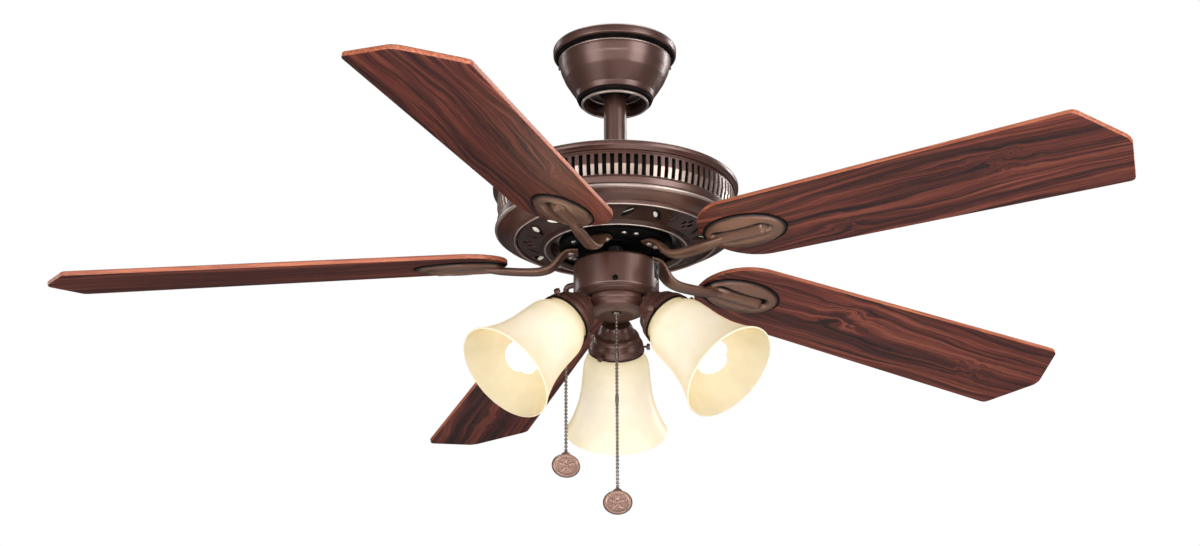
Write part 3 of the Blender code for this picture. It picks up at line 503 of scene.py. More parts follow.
def carved(mesh, cutters):
    """The mesh after one exact Boolean with all the cutters."""
    body = added("carve_body", mesh)
    tool = added("carve_tool", grown(*cutters))
    step = body.modifiers.new("carve", "BOOLEAN")
    step.object = tool
    step.operation = "DIFFERENCE"
    step.solver = "EXACT"
    bpy.context.view_layer.update()
    depsgraph = bpy.context.evaluated_depsgraph_get()
    made = bpy.data.meshes.new_from_object(body.evaluated_get(depsgraph))
    for obj in (body, tool):
        bpy.data.objects.remove(obj)
    return made


def smoothed(stations, parts, first=0):
    """Points of a smooth curve through the stations, from the first wanted one on."""
    points = [Vector(station) for station in stations]
    last = len(points) - 1
    line = []
    for i in range(first, last):
        a, b, c, d = (points[min(max(i + k, 0), last)] for k in (-1, 0, 1, 2))
        for s in range(parts):
            t = s / parts
            bend = (2 * a - 5 * b + 4 * c - d) * t * t
            line.append(0.5 * (2 * b + (c - a) * t + bend + (3 * b - a - 3 * c + d) * t ** 3))
    return line + [points[last]]


def loft(name, rows):
    """A closed skin over rows of points, capped at both ends."""
    bm = bmesh.new()
    rings = [[bm.verts.new(p) for p in row] for row in rows]
    count = len(rings[0])
    for ring, following in zip(rings, rings[1:]):
        for k in range(count):
            nxt = (k + 1) % count
            bm.faces.new((ring[k], ring[nxt], following[nxt], following[k]))
    bm.faces.new(rings[0])
    bm.faces.new(rings[-1])
    return finished(bm, name)


def swept(name, points, radius, sides=12):
    """A round bar along points, with frames carried along it."""
    points = [Vector(p) for p in points]
    rows = []
    side = None
    last = len(points) - 1
    for i, point in enumerate(points):
        run = (points[min(i + 1, last)] - points[max(i - 1, 0)]).normalized()
        if side is None:
            side = run.orthogonal().normalized()
        side = (side - run * side.dot(run)).normalized()
        up = run.cross(side)
        rows.append([point + (side * cos(a) + up * sin(a)) * radius
            for a in (FULL * k / sides for k in range(sides))])
    return loft(name, rows)


def ball(radius, place=None, rings=8, sides=12):
    bm = bmesh.new()
    bmesh.ops.create_uvsphere(bm, u_segments=sides, v_segments=rings, radius=radius,
        matrix=place or Matrix())
    return finished(bm, "ball")


def drum(radius, height, place=None, sides=32):
    bm = bmesh.new()
    bmesh.ops.create_cone(bm, cap_ends=True, segments=sides, radius1=radius, radius2=radius, depth=height,
        matrix=place or Matrix())
    return finished(bm, "drum")


def block(size, place=None):
    bm = bmesh.new()
    bmesh.ops.create_cube(bm, size=1.0, matrix=(place or Matrix()) @ Matrix.Diagonal((*size, 1.0)))
    return finished(bm, "block")


def screw_head(radius):
    """A pan head with a cross recess, its seat at z 0."""
    height = 0.62 * radius
    profile = [(0, height), (0.6 * radius, 0.92 * height, radius), (radius, 0.35 * height, radius),
        (radius, 0), (0, -0.0004)]
    head = lathe("screw_head", profile, 0.0002, 24, ring=False)
    long, half = 0.62 * radius, 0.13 * radius
    cross = [(long, -half), (long, half), (half, half), (half, long), (-half, long), (-half, half),
        (-long, half), (-long, -half), (-half, -half), (-half, -long), (half, -long), (half, -half)]
    return carved(head, [prism("cross", cross, 0.45 * height, 1.5 * height)])


# Pull chains: the free cords
def bead_chain(name, x, y, top, foot, couplings):
    """Beads on short links, with a barrel coupling at each of the given heights."""
    bead = 1.25 * CHAIN_R
    count = round((top - foot) / (2.2 * bead))
    pitch = (top - foot - 2 * CHAIN_R) / count
    parts = []
    for i in range(count + 1):
        z = top - CHAIN_R - pitch * i
        parts.append(ball(bead, spot(x, y, z)))
    parts.append(drum(0.6 * CHAIN_R, top - foot - 2 * CHAIN_R, spot(x, y, (top + foot) / 2), 8))
    barrel = [(0, 0.0052), (0.0011, 0.0052), (0.0021, 0.004), (0.0021, -0.004), (0.0011, -0.0052),
        (0, -0.0052)]
    for z in couplings:
        parts.append(moved(lathe("coupling", barrel, 0.0005, 16, ring=False), spot(x, y, z)))
    return grown(*parts)


def fob_mesh(width, height, thick):
    """A round pendant: raised rim, dished faces with a five-petal rosette, small top tab."""
    half = width / 2
    profile = [(0, 0.4 * thick), (0.74 * half, 0.36 * thick, 0.002), (0.8 * half, 0.46 * thick),
        (0.88 * half, 0.48 * thick, 0.002), (half, 0.12 * thick, 0.002), (half, -0.12 * thick, 0.002),
        (0.88 * half, -0.48 * thick, 0.002), (0.8 * half, -0.46 * thick),
        (0.74 * half, -0.36 * thick, 0.002), (0, -0.4 * thick)]
    disc = lathe("fob", profile, 0.0006, 64, ring=False)
    disc.transform(Matrix.Diagonal((0.98, 0.84, 1.0, 1.0)))
    parts = [disc]
    for i in range(5):
        for side in (-1, 1):
            petal = ball(1.0, None, 8, 14)
            petal.transform(Matrix.Diagonal((0.12 * width, 0.05 * width, 0.085 * thick, 1.0)))
            place = turn(FULL * i / 5 + QUARTER) @ spot(0.175 * width, 0, side * 0.38 * thick)
            parts.append(moved(petal, place))
    for side in (-1, 1):
        boss = ball(1.0, None, 8, 14)
        boss.transform(Matrix.Diagonal((0.05 * width, 0.05 * width, 0.12 * thick, 1.0)))
        parts.append(moved(boss, spot(z=side * 0.38 * thick)))
    reach = height - 0.44 * width
    tab = [(-0.0052, 0.86 * reach), (-0.0018, reach), (0.0018, reach), (0.0052, 0.86 * reach),
        (0.004, 0.72 * reach), (-0.004, 0.72 * reach)]
    parts.append(prism("tab", tab, -0.22 * thick, 0.22 * thick, 0.0005))
    return grown(*parts)


def make_pull(name, body, x, y, top, facing, couplings):
    """A bead chain with its fob, a free cord riding on the pull's body."""
    low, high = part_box(f"{name}_fob")
    fob_top = high.z
    foot = fob_top + 0.0003
    chain = piece(f"{name}_bead_chain", bead_chain(name, x, y, top, foot, couplings), CHAIN_METAL,
        body=body, slot="antique_chain", replaces=f"{name}_chain")
    width, height = 0.034, high.z - low.z
    middle = fob_top - (height - 0.44 * width)
    place = spot(x, y, middle) @ turn(facing) @ turn(QUARTER, "X")
    fob = piece(f"{name}_pendant", fob_mesh(width, height, FOB_THICK), FOB_METAL, body=body, place=place,
        replaces=f"{name}_fob")


def fob_metal():
    """Bronze toned by depth: dark in the hollows, bright on the raised relief."""
    g = Graph("fob_bronze", Metallic=0.6, Coat_Weight=0.3)
    depth = g.math("ABSOLUTE", g.z)
    raised = g.span(depth, 0.0006, 0.0021)
    tone = g.blend(raised, rgb(52, 33, 27), rgb(158, 124, 110))
    g.set(Base_Color=tone, Roughness=g.span(g.noise(500.0), 0.3, 0.7, 0.28, 0.42))
    g.bump(g.noise(900.0), 0.02, 0.0001)
    return g.mat


FOB_METAL = fob_metal()
make_pull("light", "light_pull", LIGHT_CHAIN_X, LIGHT_CHAIN_Y, PLANE - 0.053, 0.0,
    (PLANE - 0.115, PLANE - 0.17))
make_pull("fan", "fan_pull", FAN_CHAIN_X, FAN_CHAIN_Y, PLANE - 0.02, radians(12.0),
    (PLANE - 0.09,))


# Hanger and canopy
def make_canopy():
    rim = CANOPY_R
    foot = CANOPY_FOOT
    outer = [(rim - 0.003, -0.001, 0.002), (rim, -0.004, 0.004), (rim - 0.0004, -0.0126, 0.003),
        (0.07, -0.0138, 0.0006), (0.0622, -0.0136), (0.0616, -0.0158), (0.0652, -0.0164, 0.0006),
        (0.0662, -0.0178, 0.001), (0.066, -0.0215, 0.003), (0.0642, -0.031, 0.02), (0.0592, -0.043, 0.02),
        (0.0532, -0.053, 0.02), (0.0474, -0.0618, 0.006), (0.045, foot + 0.0078, 0.0012)]
    back = [(0.0428, foot + 0.0084), (0.0515, -0.053, 0.01), (0.061, -0.03, 0.02), (0.06, -0.01),
        (rim - 0.0045, -0.008), (rim - 0.0045, -0.001)]
    turned("canopy_shell", outer + back, BRONZE, body="ceiling_mount", replaces="canopy")
    # Painted shade: a near-black ring under the canopy's rim, where the rim overhangs the bowl.
    groove = [(0.0712, -0.0132), (0.0706, -0.0143), (0.064, -0.0165), (0.0618, -0.016), (0.062, -0.0136)]
    turned("canopy_groove_shadow", groove, BRONZE_DARK, 0.0001, body="ceiling_mount")
    # Painted highlight: a pale ring where the canopy's bowl meets the groove.
    line = [(0.066, -0.0176), (0.0668, -0.0184), (0.0664, -0.0192), (0.0655, -0.0184)]
    turned("canopy_highlight_line", line, BRONZE_HIGHLIGHT, 0.0004, body="ceiling_mount")
    # Painted shade: the trim ring's groove is near black.
    ring = [(0.0414, foot + 0.0095), (0.044, foot + 0.0082), (0.0438, foot + 0.0046, 0.001),
        (0.04, foot + 0.003), (0.0395, foot + 0.006), (0.0396, foot + 0.0095)]
    turned("canopy_trim_groove", ring, BRONZE_DARK, 0.0003, body="ceiling_mount", replaces="canopy_ring")
    bead = [(0.0399, foot + 0.0042), (0.0402, foot + 0.0012, 0.001), (0.0388, foot, 0.001),
        (0.0374, foot + 0.001, 0.001), (0.0374, foot + 0.0042)]
    turned("canopy_trim_bead", bead, BRONZE_HIGHLIGHT, 0.0008, body="ceiling_mount")
    throat = [(0.0376, foot + 0.002), (0.0372, foot + 0.0012), (0.0338, foot + 0.006, 0.002),
        (0.0318, foot + 0.015), (0.033, foot + 0.0152), (0.035, foot + 0.007, 0.002)]
    # The throat is in the darker bronze copy: painted shade.
    turned("canopy_throat", throat, BRONZE_SHADED, 0.0004, body="ceiling_mount")
    for i, side in enumerate((-1, 1), 1):
        place = spot(side * 0.0652, 0, -0.026) @ turn(side * QUARTER, "Y")
        piece(f"canopy_fastener_{i}", screw_head(0.0034), BRONZE, body="ceiling_mount", place=place,
            replaces=f"canopy_screw_{i}")


def make_rod():
    low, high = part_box("downrod")
    r = high.x
    rod = [(r, high.z), (r, low.z), (r - 0.0028, low.z), (r - 0.0028, high.z)]
    holes = [drum(0.0033, 0.04, spot(z=BALL_Z + 0.024) @ turn(QUARTER, "X"))]
    piece("downrod_pipe", carved(lathe("downrod_pipe", rod, 0.0006, 96), holes), BRONZE,
        replaces="downrod")
    low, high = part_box("yoke_coupling")
    collar = [(0.019, high.z), (0.021, high.z - 0.002), (0.021, PLANE + 0.1175, 0.003),
        (0.03, PLANE + 0.116), (0.03, low.z), (0.0105, low.z), (0.0105, PLANE + 0.1195),
        (r + 0.0003, PLANE + 0.1195), (r + 0.0003, high.z)]
    turned("yoke_collar", collar, BLACKENED, 0.0008, 96, slot="blackened_steel", replaces="yoke_coupling")
    lift = acos((r + 0.0003) / 0.0235)
    arc = [(0.0235 * cos(a), BALL_Z + 0.0235 * sin(a)) for a in (lift - 2 * lift * i / 24
        for i in range(25))]
    key = block((0.014, 0.0065, 0.06), spot(0.0265, 0, BALL_Z))
    piece("hanger_ball_smooth", carved(lathe("ball", arc, 0.0002, 96), [key]), PLASTIC,
        slot="black_plastic", replaces="hanger_ball")


# Motor housing
def make_dome():
    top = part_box("housing_dome")[1].z
    lip = PLANE + 0.094
    outer = [(0.0305, top - 0.003, 0.001), (0.06, top - 0.005, 0.01), (0.095, top - 0.009, 0.02),
        (0.123, top - 0.014, 0.004), (0.1262, top - 0.016, 0.001), (0.134, lip + 0.003, 0.004),
        (LIP_R, lip - 0.0008, 0.003), (LIP_R - 0.0004, lip - 0.0062, 0.002),
        (HOUSING_R + 0.002, lip - 0.0086, 0.0008), (HOUSING_R + 0.0012, lip - 0.01)]
    inner = [(HOUSING_R - 0.0013, lip - 0.01), (HOUSING_R - 0.0012, lip - 0.004), (0.1235, top - 0.0165),
        (0.094, top - 0.0106), (0.06, top - 0.0065), (0.021, top - 0.0048), (0.021, top - 0.0042),
        (0.0295, top - 0.0042)]
    turned("dome_shell", outer + inner, BRONZE, 0.0006, replaces="housing_dome")
    places = [turn(FULL * i / 3 + radians(72)) @ spot(0.109, 0, top - 0.0113) for i in range(3)]
    row_of("dome_screw", screw_head(0.0032), BRONZE_HIGHLIGHT, places)


def make_vent_band():
    """The band of ribs: upright above, drawn in below, between narrow open slots, with a painted
    highlight on the ribs' lower halves.
    """
    rim_top = PLANE + 0.0837
    waist = (VENT_TOP + VENT_FOOT) / 2
    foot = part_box("housing_vent_band")[0].z
    r = HOUSING_R
    outer = [(r - 0.0006, rim_top), (r - 0.0006, VENT_TOP + 0.003, 0.001), (r, VENT_TOP + 0.0012, 0.001),
        (r, waist, 0.004), (r - 0.0026, VENT_FOOT - 0.0004, 0.001),
        (r - 0.0006, VENT_FOOT - 0.0022, 0.001), (r, VENT_FOOT - 0.0036, 0.001),
        (r - 0.001, foot + 0.0014, 0.001), (r - 0.0016, foot)]
    inner = [(r - 0.004, foot), (r - 0.004, VENT_FOOT), (r - 0.0022, waist), (r - 0.002, rim_top)]
    slots = []
    pitch = FULL / VENT_COUNT
    for i in range(VENT_COUNT):
        place = turn((i + 0.5) * pitch) @ spot(r, 0, (VENT_TOP + VENT_FOOT) / 2)
        slots.append(block((0.012, 0.54 * r * pitch, VENT_TOP - VENT_FOOT), place))
    band = carved(lathe("vent_ribs", outer + inner, 0.0004, 192), slots)
    # The ribs' lower, upward-facing faces take the pale copy: a painted highlight.
    for mat in (BRONZE, RIB_HIGHLIGHT):
        band.materials.append(mat)
    for face in band.polygons:
        low = VENT_FOOT < face.center.z < waist and hypot(*face.center[:2]) > r - 0.003
        face.material_index = 1 if low and face.normal.z > -0.6 else 0
    piece("vent_ribs", band, None, replaces="housing_vent_band", angle=28.0)
    # Painted shade: a near-black sheet behind the slots, so the housing's inside looks dark through them.
    shadow_sheet = [(0.13, VENT_TOP + 0.004), (0.13, VENT_FOOT - 0.002), (0.1294, VENT_FOOT - 0.002),
        (0.1294, VENT_TOP + 0.004)]
    turned("vent_shadow_sheet", shadow_sheet, BRONZE_DARK, 0.0001, 96)


def make_lower_ring():
    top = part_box("housing_lower_ring")[1].z
    ridge_r, ridge_z = 0.118, PLANE + 0.027
    gap = [(0.1366, top), (0.1366, top - 0.0018), (0.134, top - 0.0018), (0.134, top)]
    turned("shadow_gap", gap, BRONZE_DARK, 0.0001)
    bead = [(0.1392, top - 0.0012, 0.001), (0.141, top - 0.0018, 0.001), (0.141, top - 0.004, 0.001),
        (0.1394, top - 0.005, 0.001), (0.1372, top - 0.005), (0.1372, top - 0.0012)]
    turned("housing_bead", bead, BRONZE_HIGHLIGHT, 0.0008)
    outer = [(0.1385, top - 0.003), (0.1382, top - 0.0064, 0.001), (0.1362, top - 0.007, 0.001),
        (0.1318, top - 0.0102, 0.012), (0.124, top - 0.0134, 0.012), (0.1212, top - 0.014, 0.0006),
        (ridge_r + 0.0022, ridge_z + 0.0004, 0.001), (ridge_r, ridge_z - 0.0014, 0.002),
        (ridge_r - 0.0022, ridge_z + 0.0004, 0.001)]
    inner = [(ridge_r - 0.0022, ridge_z + 0.003), (0.122, ridge_z + 0.0042), (0.134, top - 0.0056),
        (0.1345, top - 0.002), (0.137, top - 0.002)]
    turned("cove_band", outer + inner, BRONZE, 0.0005, replaces="housing_lower_ring")
    # Painted highlight: a pale thread along the ridge.
    line = [(ridge_r + 0.0012, ridge_z - 0.0006, 0.0006), (ridge_r, ridge_z - 0.002, 0.001),
        (ridge_r - 0.0012, ridge_z - 0.0006, 0.0006), (ridge_r, ridge_z + 0.0006)]
    turned("ridge_highlight_line", line, BRONZE_HIGHLIGHT, 0.0006)


def leaf_outline(half_l, half_w, count=9):
    """A pointed oval."""
    side = [(half_l * cos(pi * i / count), half_w * sin(pi * i / count) ** 1.3) for i in range(1, count)]
    return [(half_l, 0)] + side + [(-half_l, 0)] + [(x, -y) for x, y in reversed(side)]


def make_bottom_plate():
    """The dished plate with its pierced ornament: five clusters of four holes and ten leaves."""
    r, top, z = 0.115, PLANE + 0.0296, PLANE + 0.0165
    outer = [(r, top), (r, top - 0.0016, 0.0005), (0.1128, top - 0.0026, 0.001),
        (0.1118, top - 0.0022, 0.0006), (0.104, z + 0.0092, 0.01), (0.09, z + 0.004, 0.004),
        (0.0872, z + 0.003, 0.0008), (0.0855, z - 0.0004, 0.002), (0.0825, z - 0.0014, 0.002),
        (0.0795, z - 0.0012, 0.002), (0.0758, z + 0.0008, 0.002), (0.075, z + 0.002)]
    inner = [(0.075, z + 0.0032), (0.084, z + 0.0042), (0.1, z + 0.0088), (0.111, top)]
    hoop = [(0.0038 * cos(FULL * k / 20), 0.0038 * sin(FULL * k / 20), 0) for k in range(21)]
    cutters, rims, tongues = [], [], []
    for i in range(BLADE_COUNT):
        middle = FIRST_BLADE + radians(1) + FULL * i / BLADE_COUNT
        for side in (-1, 1):
            leaf = turn(middle + side * radians(26)) @ spot(0.0995, 0, z)
            leaf = leaf @ turn(side * radians(38))
            cutters.append(moved(prism("leaf", leaf_outline(0.0112, 0.0044), -0.02, 0.04), leaf))
            # Each tongue is near white: a painted glint inside its leaf slot.
            tongue = prism("tongue", leaf_outline(0.008, 0.0024), -0.0002, 0.0002)
            tongues.append(moved(tongue, leaf @ spot(0.0012, -0.0021, 0.008) @ turn(radians(24), "X")))
            notch = turn(middle + side * radians(13)) @ spot(0.0985, 0, z)
            notch = notch @ turn(side * radians(-28))
            cutters.append(moved(prism("leaf", leaf_outline(0.0066, 0.0021), -0.02, 0.04), notch))
        cluster = turn(middle) @ spot(0.1, 0, z)
        for lobe in range(4):
            around = turn(QUARTER * lobe) @ spot(0.0057)
            cutters.append(drum(0.0035, 0.06, cluster @ around, 16))
            place = cluster @ spot(z=0.0078) @ turn(radians(-20), "Y") @ around
            rims.append(moved(swept("hoop", hoop, 0.00045, 8), place))
    plate = carved(lathe("ornament_plate", outer + inner, 0.0005), cutters)
    # The plate is in the darker bronze copy: painted shade on the housing's underside.
    piece("ornament_plate", plate, BRONZE_SHADED, replaces="housing_bottom_plate", angle=28.0)
    piece("ornament_rims", grown(*rims), BRONZE)
    # The tongues carry painted glints.
    piece("leaf_tongues", grown(*tongues), GLINT_WHITE)
    lip = [(0.0838, z - 0.0008, 0.0008), (0.0826, z - 0.0022, 0.001), (0.081, z - 0.0008, 0.0008)]
    turned("opening_lip", lip, BRONZE_HIGHLIGHT, 0.0006)


# Motor
def make_motor():
    # The motor shaft and the rotor case's top are black as painted shade, so the hub opening and the
    # vents look dark.
    for node, mat in (("stator_winding", COPPER), ("upper_bearing", STEEL), ("lower_bearing", STEEL),
            ("motor_shaft", BLACKENED), ("rotor_case_top", BLACKENED)):
        refinish(node, mat)
    foot = PLANE + 0.034
    case = [(0.109, PLANE + 0.062), (0.109, foot + 0.008, 0.003), (0.1, foot, 0.003), (0.07, foot, 0.001),
        (0.068, foot + 0.0008, 0.001), (0.033, foot + 0.0006, 0.002), (0.03, PLANE + 0.0263),
        (0.012, PLANE + 0.0263), (0.012, foot + 0.0006), (0.0173, foot + 0.0006), (0.0173, foot + 0.008),
        (0.023, foot + 0.008), (0.023, foot + 0.0025), (0.099, foot + 0.0025), (0.106, foot + 0.009),
        (0.106, PLANE + 0.062)]
    turned("rotor_case_foot", case, ALUMINIUM, 0.0005, 128, body="rotor", slot="cast_aluminium",
        replaces="rotor_case_bottom")
    low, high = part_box("flywheel")
    wheel = [(0.066, high.z), (0.066, low.z), (0.048, low.z, 0.0005), (0.047, low.z + 0.0012),
        (0.03, low.z + 0.0012), (0.029, low.z), (0.0135, low.z), (0.0135, high.z)]
    turned("flywheel_disc", wheel, RUBBER, 0.001, 128, body="rotor", slot="black_rubber",
        replaces="flywheel")
    turns = [FIRST_BLADE + FULL * (i + 0.5) / BLADE_COUNT + side * radians(7.5)
        for i in range(BLADE_COUNT) for side in (-1, 1)]
    places = [turn(angle) @ spot(0.055, 0, low.z) @ turn(pi, "X") for angle in turns]
    row_of("flywheel_screw", screw_head(0.0036), BRIGHT, places, body="rotor", slot="zinc_steel")


def refinish(node, mat):
    """A CAD node that keeps its mesh, in a finished material."""
    mesh = frame["nodes"][node].data
    mesh.materials.clear()
    mesh.materials.append(mat)


# Blades and irons
def blade_place(azimuth):
    """The frame of a blade: X out along it, pitched and drooping, Z out of its top."""
    droop = spot(IRON_MID_R, 0, PLANE) @ turn(BLADE_DROOP, "Y") @ spot(-IRON_MID_R)
    return turn(azimuth) @ droop @ turn(-BLADE_PITCH, "X")


def blade_outline():
    reach = BLADE_SHOULDER_R - BLADE_ROOT_R
    root = []
    steps = 24
    for i in range(steps + 1):
        a = QUARTER * i / steps
        root.append((BLADE_SHOULDER_R - reach * cos(a), BLADE_ROOT_HALF * sin(a)))
    side = []
    for i in range(1, 12):
        t = i / 12
        side.append((BLADE_SHOULDER_R + (BLADE_CORNER_R - BLADE_SHOULDER_R) * t,
            BLADE_ROOT_HALF + (BLADE_TIP_HALF - BLADE_ROOT_HALF) * t))
    corner = filleted([side[-1], (BLADE_CORNER_R, BLADE_TIP_HALF, 0.01), (BLADE_TIP_R - 0.0006, 0.006)],
        0.008, closed=False, parts=6)
    half = root + side + corner[1:]
    return half + [(BLADE_TIP_R, 0)] + [(x, -y) for x, y in reversed(half[1:])]


def blade_mesh():
    """The blade's body, with its faces in veneer and its edges in banding."""
    mesh = prism("blade", blade_outline(), -BLADE_THICK / 2, BLADE_THICK / 2, 0.0014, 3)
    for face in mesh.polygons:
        face.material_index = 0 if abs(face.normal.z) > 0.35 else 1
    return mesh


def medallion_depth(u, v):
    """How far the medallion stands below its seat, at u along it and v across it, from -1 to 1:
    a crowned oval with a raised finger along it, which lies in a pocket deeper on one side."""
    e = hypot(u, v)
    x, y = MEDALLION_HALF_L * u, MEDALLION_HALF_W * v
    past = max(x - 0.46 * MEDALLION_HALF_L, 0)
    away = hypot(past, y - 0.0012)
    plate = 0.0036 + 0.0042 * (1 - smooth_step(e, 0.42, 1.04))
    beside = 1 - 0.75 * smooth_step(y, 0, 0.004)
    pocket = 0.0078 * beside * bell((away - 0.0094) / 0.004) * (1 - smooth_step(e, 0.7, 0.9))
    finger = 0.0094 * (1 - smooth_step(away, 0.0018, 0.0058))
    return max(plate - pocket, finger, 0.0004) * (1 - 0.75 * smooth_step(e, 0.9, 1.0))


def medallion_mesh():
    top = -BLADE_THICK / 2 - 0.0003
    sides, rings = 128, 44
    bm = bmesh.new()
    seat = [bm.verts.new((IRON_MID_R + MEDALLION_HALF_L * cos(FULL * k / sides),
        MEDALLION_HALF_W * sin(FULL * k / sides), top)) for k in range(sides)]
    rows = [seat]
    for j in range(rings):
        e = 1 - j / rings
        row = []
        for k in range(sides):
            u, v = e * cos(FULL * k / sides), e * sin(FULL * k / sides)
            row.append(bm.verts.new((IRON_MID_R + MEDALLION_HALF_L * u, MEDALLION_HALF_W * v,
                top - medallion_depth(u, v))))
        rows.append(row)
    centre = bm.verts.new((IRON_MID_R, 0, top - medallion_depth(0, 0)))
    for row, below in zip(rows, rows[1:]):
        for k in range(sides):
            nxt = (k + 1) % sides
            bm.faces.new((row[k], row[nxt], below[nxt], below[k]))
    for k in range(sides):
        bm.faces.new((rows[-1][k], rows[-1][(k + 1) % sides], centre))
    bm.faces.new(seat)
    return finished(bm, "medallion")


def arm_mesh():
    """The cast arm: a crowned strap from its screwed foot to the medallion, forked where it lands."""
    foot = 0.012
    stations = [(0.044, foot + 0.0012, 0.011), (0.052, foot + 0.001, 0.0118),
        (0.0585, foot - 0.0005, 0.0115), (0.065, foot - 0.006, 0.0108), (0.0705, foot - 0.013, 0.01),
        (0.078, foot - 0.0192, 0.009), (0.09, foot - 0.0224, 0.0082), (0.108, foot - 0.0226, 0.0078),
        (0.128, foot - 0.0214, 0.0074), (0.145, foot - 0.0196, 0.0056), (0.158, foot - 0.0178, 0.0036)]
    fine = smoothed(stations, 6)
    rows = []
    last = len(fine) - 1
    for i, (x, z, half) in enumerate(fine):
        run = fine[min(i + 1, last)] - fine[max(i - 1, 0)]
        run = Vector((run.x, 0, run.y)).normalized()
        up = Vector((-run.z, 0, run.x))
        lean = -BLADE_PITCH * min(max((x - 0.065) / 0.045, 0), 1.0)
        side = Vector((0, cos(lean), sin(lean)))
        up = Matrix.Rotation(lean, 3, run) @ up
        thick = 0.0026 + 0.002 * smooth_step(x, 0.056, 0.076) - 0.0012 * smooth_step(x, 0.13, 0.158)
        row = []
        for k in range(24):
            a = FULL * k / 24
            c, s = cos(a), sin(a)
            across, high = copysign(abs(c) ** 0.8, c), copysign(abs(s) ** 0.75, s)
            row.append(Vector((x, 0, z)) + side * half * across + up * thick * high)
        rows.append(row)
    return loft("iron_arm", rows)


def make_blades():
    medallion, arm = medallion_mesh(), arm_mesh()
    # A thin black plate a little larger than the medallion, showing as a dark outline round it.
    outline_plate = prism("outline_plate", [(IRON_MID_R + 1.035 * MEDALLION_HALF_L * cos(FULL * k / 96),
        1.05 * MEDALLION_HALF_W * sin(FULL * k / 96)) for k in range(96)], -BLADE_THICK / 2 - 0.0012,
        -BLADE_THICK / 2 - 0.0001)
    head = screw_head(0.0042)
    washer = lathe("washer", [(0.0066, 0.0008), (0.0066, 0), (0.003, 0), (0.003, 0.0008)], 0.0003, 32)
    foot_screw = screw_head(0.0036)
    for i in range(BLADE_COUNT):
        n = i + 1
        azimuth = FIRST_BLADE + FULL * i / BLADE_COUNT
        place = blade_place(azimuth)
        piece(f"blade_board_{n}", blade_mesh(), [WALNUTS[i], EDGE], body="rotor", slot="walnut_veneer",
            place=place, replaces=f"blade_{n}", angle=40.0)
        piece(f"iron_arm_{n}", arm.copy(), BRONZE_CAST, body="rotor", place=turn(azimuth) @ spot(z=PLANE),
            replaces=f"blade_iron_{n}", angle=50.0)
        piece(f"iron_medallion_{n}", medallion.copy(), MEDALLION, body="rotor", place=place, angle=60.0)
        piece(f"iron_gasket_{n}", outline_plate.copy(), RUBBER, body="rotor", slot="black_rubber", place=place)
        seats = [place @ spot(IRON_MID_R + x, y, BLADE_THICK / 2) for x, y in BLADE_SCREWS]
        row_of(f"blade_washer_{n}", washer, RUBBER, seats, body="rotor", slot="black_rubber")
        seats = [seat @ spot(z=0.0008) for seat in seats]
        row_of(f"blade_screw_{n}", head, BRONZE_HIGHLIGHT, seats, body="rotor")
        seats = [turn(azimuth) @ spot(0.052, y, PLANE + 0.0093) @ turn(pi, "X") for y in IRON_SCREWS_Y]
        row_of(f"iron_screw_{n}", foot_screw, BRONZE_HIGHLIGHT, seats, body="rotor")


# Switch housing
def make_switch_housing():
    roof, foot, r = SWITCH_TOP, SWITCH_FOOT, SWITCH_R
    line = [(0.04, roof), (r - 0.003, roof, 0.002), (r, roof - 0.003, 0.002), (r, foot + 0.0016),
        (r - 0.0003, foot)]
    inner = [(r - 0.0012, foot), (r - 0.0012, roof - 0.0032), (r - 0.0034, roof - 0.0014),
        (0.0083, roof - 0.0014), (0.0083, roof)]
    slide = SLIDER_AZIMUTH
    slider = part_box("reverse_slider")
    slider_z = (slider[0].z + slider[1].z) / 2 + 0.0025
    window = block((0.01, 0.0052, 0.015), turn(slide) @ spot(r, 0, slider_z))
    guide = atan2(FAN_CHAIN_Y, FAN_CHAIN_X)
    spout = drum(0.0038, 0.02, facing_out(guide, r, GUIDE_Z))
    can = carved(lathe("switch_can", line + inner, 0.0004), [window, spout])
    piece("switch_can", can, BRONZE, replaces="switch_housing")
    frame_outer = filleted([(-0.0052, -0.01), (0.0052, -0.01), (0.0052, 0.01), (-0.0052, 0.01)], 0.0012)
    plate = prism("slider_plate", frame_outer, -0.0004, 0.0006, 0.0002, 2)
    hole = block((0.0046, 0.013, 0.01))
    seat = turn(slide) @ spot(r - 0.0003, 0, slider_z) @ turn(QUARTER, "Z") @ turn(QUARTER, "X")
    piece("slider_plate", carved(plate, [hole]), PLASTIC, slot="black_plastic", place=seat)
    knob = [(-0.002, -0.0029), (0.002, -0.0029), (0.002, 0.0029), (-0.002, 0.0029)]
    knob_mesh = prism("slider_knob", filleted(knob, 0.0006), -0.0018, 0.0019, 0.0004, 3)
    middle = (slider[0] + slider[1]) / 2
    seat = Matrix.Translation(middle) @ turn(slide) @ turn(QUARTER, "Z") @ turn(QUARTER, "X")
    piece("slider_knob", knob_mesh, BLACKENED, body="reverse_knob", slot="black_plastic", place=seat,
        replaces="reverse_slider")
    seats = [facing_out(radians(-91.5 + 120 * i), r - 0.0001, foot + 0.0052) for i in range(3)]
    row_of("housing_screw", screw_head(0.0034), BRONZE_DARK, seats)
    seat = facing_out(slide, r - 0.0001, slider_z - 0.0145)
    piece("slider_screw", screw_head(0.0024), BRIGHT, slot="zinc_steel", place=seat)
    for node in ("speed_switch", "reverse_switch", "run_capacitor", "light_switch"):
        refinish(node, PLASTIC)
    make_chain_guide(guide)


